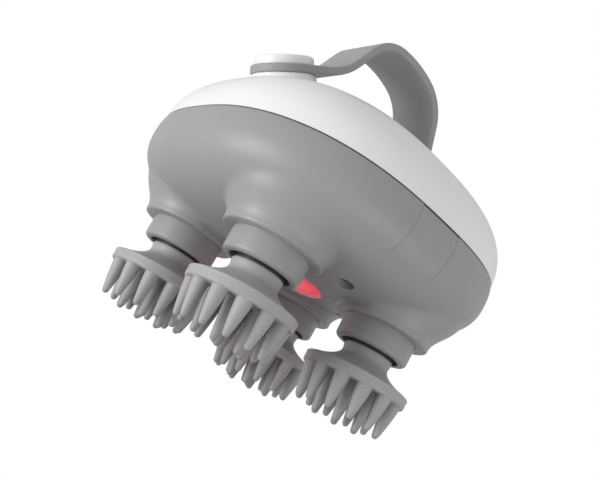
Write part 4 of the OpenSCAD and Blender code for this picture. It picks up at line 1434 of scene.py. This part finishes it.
def seal_mesh(i):
    """The dark seal in a collar's mouth, with a rounded lip round the neck."""
    low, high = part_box(f"seal_{i}")
    neck_gap, lip_edge, edge = 0.06 * MM, 0.35 * MM, 0.1 * MM
    lip_width, groove = 0.7 * MM, 0.3 * MM
    neck, outer = bpy.context.scene.massager_heads.neck_r + neck_gap, radius_of(f"seal_{i}")
    return lathe("seal", fillet([
        (neck, low.z, lip_edge), (neck + lip_width, low.z + groove, edge), (outer, low.z, edge),
        (outer, high.z, 0), (neck, high.z, lip_edge),
    ], steps=5))


def make_collars():
    """The grey collar in each boss and the dark ring seal in each collar's mouth."""
    for i in HEADS:
        place = Matrix.Translation(head_place(i))
        ring, web = collar_mesh(i)
        collar = new_piece(f"collar_ring_{i}", moved(ring, place))
        carve(collar, [moved(web, place)], "UNION")
        shade(collar, TURNED_EDGE)
        paint(collar, grey_plastic())
        hand_over(collar, "housing", [f"collar_{i}"])
        seal = new_piece(f"lip_seal_{i}", moved(seal_mesh(i), place))
        shade(seal, TURNED_EDGE)
        paint(seal, dark_rubber())
        hand_over(seal, "housing", [f"seal_{i}"])


def neck_shade_core(i):
    """The hard core of a head's neck, which shows above the soft neck inside the collar; its dark colour is
    painted shade in the collar's mouth.
    """
    heads = bpy.context.scene.massager_heads
    inset, overlap, edge = 0.35 * MM, 0.4 * MM, 0.2 * MM
    radius = heads.neck_r - inset
    low, top = heads.neck_top - overlap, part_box(f"head_core_{i}")[1].z
    corners = [(0, low, 0), (radius, low, edge), (radius, top, edge), (0, top, 0)]
    return lathe("core", fillet(corners), steps=128)


def make_heads():
    """The four soft heads, one form copied and turned into place, and their necks' cores, painted dark as
    the shade in the collars' mouths.
    """
    heads = bpy.context.scene.massager_heads
    values = (
        heads.disc_r, heads.disc_low, heads.disc_edge, heads.disc_round, heads.disc_bevel,
        heads.waist_r, heads.waist_h, heads.neck_r, heads.neck_top,
        heads.outer_fingers, heads.outer_ring_r, heads.outer_lean, heads.outer_low,
        heads.inner_fingers, heads.inner_ring_r, heads.inner_turn,
        heads.root_r, heads.tip_r, heads.taper, heads.fillet,
    )
    margin = 3 * heads.voxel
    reach = heads.disc_r + margin
    low, high = (-reach, -reach, -2 * heads.voxel), (reach, reach, heads.neck_top + margin)
    first = run_field(
        "soft_head_1", PAD_INPUTS, pad_formula, values, low, high, heads.voxel, grey_silicone()
    )
    pieces = [first] + [new_piece(f"soft_head_{i}", first.data.copy()) for i in HEADS[1:]]
    for i, piece in zip(HEADS, pieces):
        place = Matrix.Translation(head_place(i))
        piece.data.transform(place @ Matrix.Rotation(heads.turns[i - 1], 4, "Z"))
        piece.data.shade_smooth()
        paint(piece, grey_silicone())
        hand_over(piece, f"head_{i}", [f"finger_pad_{i}"])
        # The core is a hard piece, painted dark as the shade in the collar's mouth.
        core = new_piece(f"neck_core_{i}", moved(neck_shade_core(i), place))
        shade(core, TURNED_EDGE)
        paint(core, dark_plastic_and_painted_shade())
        hand_over(core, f"head_{i}")


def make_lens():
    """The red window in the middle of the underside, with a low crowned face."""
    low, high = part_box("light_lens")
    edge = high.x
    steps, crown, rim_edge = 10, 0.5 * MM, 0.15 * MM
    rim_top = low.z + LENS_RIM
    corners = [(edge * k / steps, low.z - crown * (1 - (k / steps) ** 2), 0) for k in range(steps)]
    corners += [(edge, low.z, rim_edge), (edge, rim_top, 0), (edge - LENS_STEP, rim_top, 0)]
    corners += [(edge - LENS_STEP, high.z, 0), (0, high.z, 0)]
    lens = new_piece("light_window", lathe("light_window", fillet(corners)))
    shade(lens, TURNED_EDGE)
    paint(lens, red_lens())
    hand_over(lens, "housing", ["light_lens"])


# Finish of the CAD nodes that stay, by the stem of their names
INSIDE = {
    steel: (
        "spindle", "case_screw", "sun_arbor", "idler_arbor", "motor", "motor_pinion", "cover_pin",
        "charging_socket",
    ),
    bronze: ("bush",),
    gear_plastic: ("head_gear", "sun_gear", "idler_gear"),
    board_green: ("button_board", "light_board", "control_board", "charge_board"),
    grey_plastic: ("gear_plate", "motor_plate", "strap_clip"),
    white_plastic: ("button_sleeve",),
    dark_plastic_and_painted_shade: ("tact_switch", "switch_plunger", "battery_tray", "port_bezel", "head_core"),
    cell_wrap: ("battery",),
}


def dress_inside():
    """Procedural materials on every CAD node that stays."""
    finish_of = {stem: make for make, stems in INSIDE.items() for stem in stems}
    for name, node in frame["nodes"].items():
        if node.hide_render:
            continue
        stem = name.rsplit("_", 1)[0] if name[-1].isdigit() else name
        if stem not in finish_of:
            raise RuntimeError(f"no finish is named for {name}")
        material = finish_of[stem]()
        node.data.materials.clear()
        node.data.materials.append(material)


# Stage


def floor_material():
    """A pale floor that can't be seen from below and lets the lamps' light through."""
    material = bpy.data.materials.new("Pale floor")
    material.use_nodes = True
    tree = material.node_tree
    shader = tree.nodes["Principled BSDF"]
    shader.inputs["Base Color"].default_value = (0.86, 0.86, 0.86, 1)
    shader.inputs["Roughness"].default_value = 0.9
    clear = tree.nodes.new("ShaderNodeBsdfTransparent")
    behind = Value(tree, tree.nodes.new("ShaderNodeNewGeometry").outputs["Backfacing"])
    rays = tree.nodes.new("ShaderNodeLightPath")
    hidden = behind.most(Value(tree, rays.outputs["Is Shadow Ray"]))
    mix = tree.nodes.new("ShaderNodeMixShader")
    put(tree, mix.inputs[0], hidden)
    tree.links.new(shader.outputs[0], mix.inputs[1])
    tree.links.new(clear.outputs[0], mix.inputs[2])
    tree.links.new(mix.outputs[0], tree.nodes["Material Output"].inputs["Surface"])
    return material


def add_lamp(name, place, aim, width, power):
    """A square lamp that faces a point."""
    lamp = bpy.data.lights.new(name, "AREA")
    lamp.size = width
    lamp.energy = power
    holder = bpy.data.objects.new(name, lamp)
    holder.location = place
    holder.rotation_euler = (Vector(aim) - Vector(place)).to_track_quat("-Z", "Y").to_euler()
    bpy.context.scene.collection.objects.link(holder)
    return holder


def make_world(strength):
    """Even soft light, white where the camera looks past the object."""
    world = bpy.data.worlds.new("Studio")
    bpy.context.scene.world = world
    world.use_nodes = True
    tree = world.node_tree
    shader = tree.nodes["Background"]
    shader.inputs["Color"].default_value = (1, 1, 1, 1)
    rays = tree.nodes.new("ShaderNodeLightPath")
    seen = Value(tree, rays.outputs["Is Camera Ray"])
    put(tree, shader.inputs["Strength"], seen * (1 - strength) + strength)


def make_stage():
    """Floor, lamps, world and camera."""
    stage = bpy.context.scene.massager_stage
    scene = bpy.context.scene
    side = 3.0
    lamp_width = 0.5
    key_place, fill_place = (-0.85, 0.1, -0.2), (0.25, -0.7, -0.35)
    corners = [(-side, -side, 0), (side, -side, 0), (side, side, 0), (-side, side, 0)]
    floor = new_piece("floor", mesh_from("floor", corners, [[0, 1, 2, 3]]))
    paint(floor, floor_material())
    aim = (0, 0, seam_height())
    add_lamp("Key", key_place, aim, lamp_width, stage.key_power)
    add_lamp("Under fill", fill_place, aim, lamp_width, stage.fill_power)
    make_world(stage.ambient)
    right = Vector(stage.camera_right).normalized()
    ahead = Vector(stage.camera_ahead).normalized()
    up = right.cross(ahead).normalized()
    camera = bpy.data.objects.new("Camera", bpy.data.cameras.new("Camera"))
    camera.data.lens = stage.focal
    camera.data.sensor_width = 36
    camera.data.clip_start = 0.01
    turn_to = Matrix((right, up, -ahead)).transposed().to_4x4()
    camera.matrix_world = Matrix.Translation((stage.camera_x, stage.camera_y, stage.camera_z)) @ turn_to
    scene.collection.objects.link(camera)
    scene.camera = camera
    scene.view_settings.view_transform = "Standard"


# The add-on


class MASSAGER_OT_lower_shell(bpy.types.Operator):
    """Build the grey lower shell and the port cover in it"""

    bl_idname = "massager.lower_shell"
    bl_label = "Lower Shell"

    def execute(self, context):
        make_lower_shell()
        return {"FINISHED"}


class MASSAGER_OT_upper_shell(bpy.types.Operator):
    """Build the white dome"""

    bl_idname = "massager.upper_shell"
    bl_label = "Upper Shell"

    def execute(self, context):
        make_upper_shell()
        return {"FINISHED"}


class MASSAGER_OT_gasket(bpy.types.Operator):
    """Build the rubber ring between the shells"""

    bl_idname = "massager.gasket"
    bl_label = "Rubber Ring"

    def execute(self, context):
        make_gasket()
        return {"FINISHED"}


class MASSAGER_OT_strap(bpy.types.Operator):
    """Build the finger strap"""

    bl_idname = "massager.strap"
    bl_label = "Strap"

    def execute(self, context):
        make_strap()
        return {"FINISHED"}


class MASSAGER_OT_button(bpy.types.Operator):
    """Build the power button's cap"""

    bl_idname = "massager.button"
    bl_label = "Button"

    def execute(self, context):
        make_button()
        return {"FINISHED"}


class MASSAGER_OT_collars(bpy.types.Operator):
    """Build the collars and their seals"""

    bl_idname = "massager.collars"
    bl_label = "Collars"

    def execute(self, context):
        make_collars()
        return {"FINISHED"}


class MASSAGER_OT_heads(bpy.types.Operator):
    """Build the four soft heads"""

    bl_idname = "massager.heads"
    bl_label = "Heads"

    def execute(self, context):
        make_heads()
        return {"FINISHED"}


class MASSAGER_OT_lens(bpy.types.Operator):
    """Build the red window"""

    bl_idname = "massager.lens"
    bl_label = "Red Window"

    def execute(self, context):
        make_lens()
        return {"FINISHED"}


class MASSAGER_OT_inside(bpy.types.Operator):
    """Dress the CAD parts that stay"""

    bl_idname = "massager.inside"
    bl_label = "Inside"

    def execute(self, context):
        dress_inside()
        return {"FINISHED"}


class MASSAGER_OT_stage(bpy.types.Operator):
    """Build the floor, the lamps, the world and the camera"""

    bl_idname = "massager.stage"
    bl_label = "Stage"

    def execute(self, context):
        make_stage()
        return {"FINISHED"}


OPERATORS = (
    MASSAGER_OT_lower_shell,
    MASSAGER_OT_upper_shell,
    MASSAGER_OT_gasket,
    MASSAGER_OT_strap,
    MASSAGER_OT_button,
    MASSAGER_OT_collars,
    MASSAGER_OT_heads,
    MASSAGER_OT_lens,
    MASSAGER_OT_inside,
    MASSAGER_OT_stage,
)


class MASSAGER_PT_panel(bpy.types.Panel):
    """Lists the operators and the settings."""

    bl_label = "Massager"
    bl_space_type = "VIEW_3D"
    bl_region_type = "UI"
    bl_category = "Massager"

    def draw(self, context):
        for kind in OPERATORS:
            self.layout.operator(kind.bl_idname)
        for name in SETTINGS:
            group = getattr(context.scene, name)
            box = self.layout.box()
            for item in group.bl_rna.properties:
                if not item.is_readonly and item.identifier != "name":
                    box.prop(group, item.identifier)


def register():
    """Registers the settings, the operators and the panel."""
    for name, kind in SETTINGS.items():
        bpy.utils.register_class(kind)
        setattr(bpy.types.Scene, name, bpy.props.PointerProperty(type=kind))
    for kind in OPERATORS:
        bpy.utils.register_class(kind)
    bpy.utils.register_class(MASSAGER_PT_panel)


def unregister():
    """Takes away what register added."""
    bpy.utils.unregister_class(MASSAGER_PT_panel)
    for kind in reversed(OPERATORS):
        bpy.utils.unregister_class(kind)
    for name, kind in SETTINGS.items():
        delattr(bpy.types.Scene, name)
        bpy.utils.unregister_class(kind)


def main():
    """Builds everything in order."""
    register()
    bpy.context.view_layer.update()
    for kind in OPERATORS:
        group, action = kind.bl_idname.split(".")
        getattr(getattr(bpy.ops, group), action)()


if __name__ == "__main__":
    main()
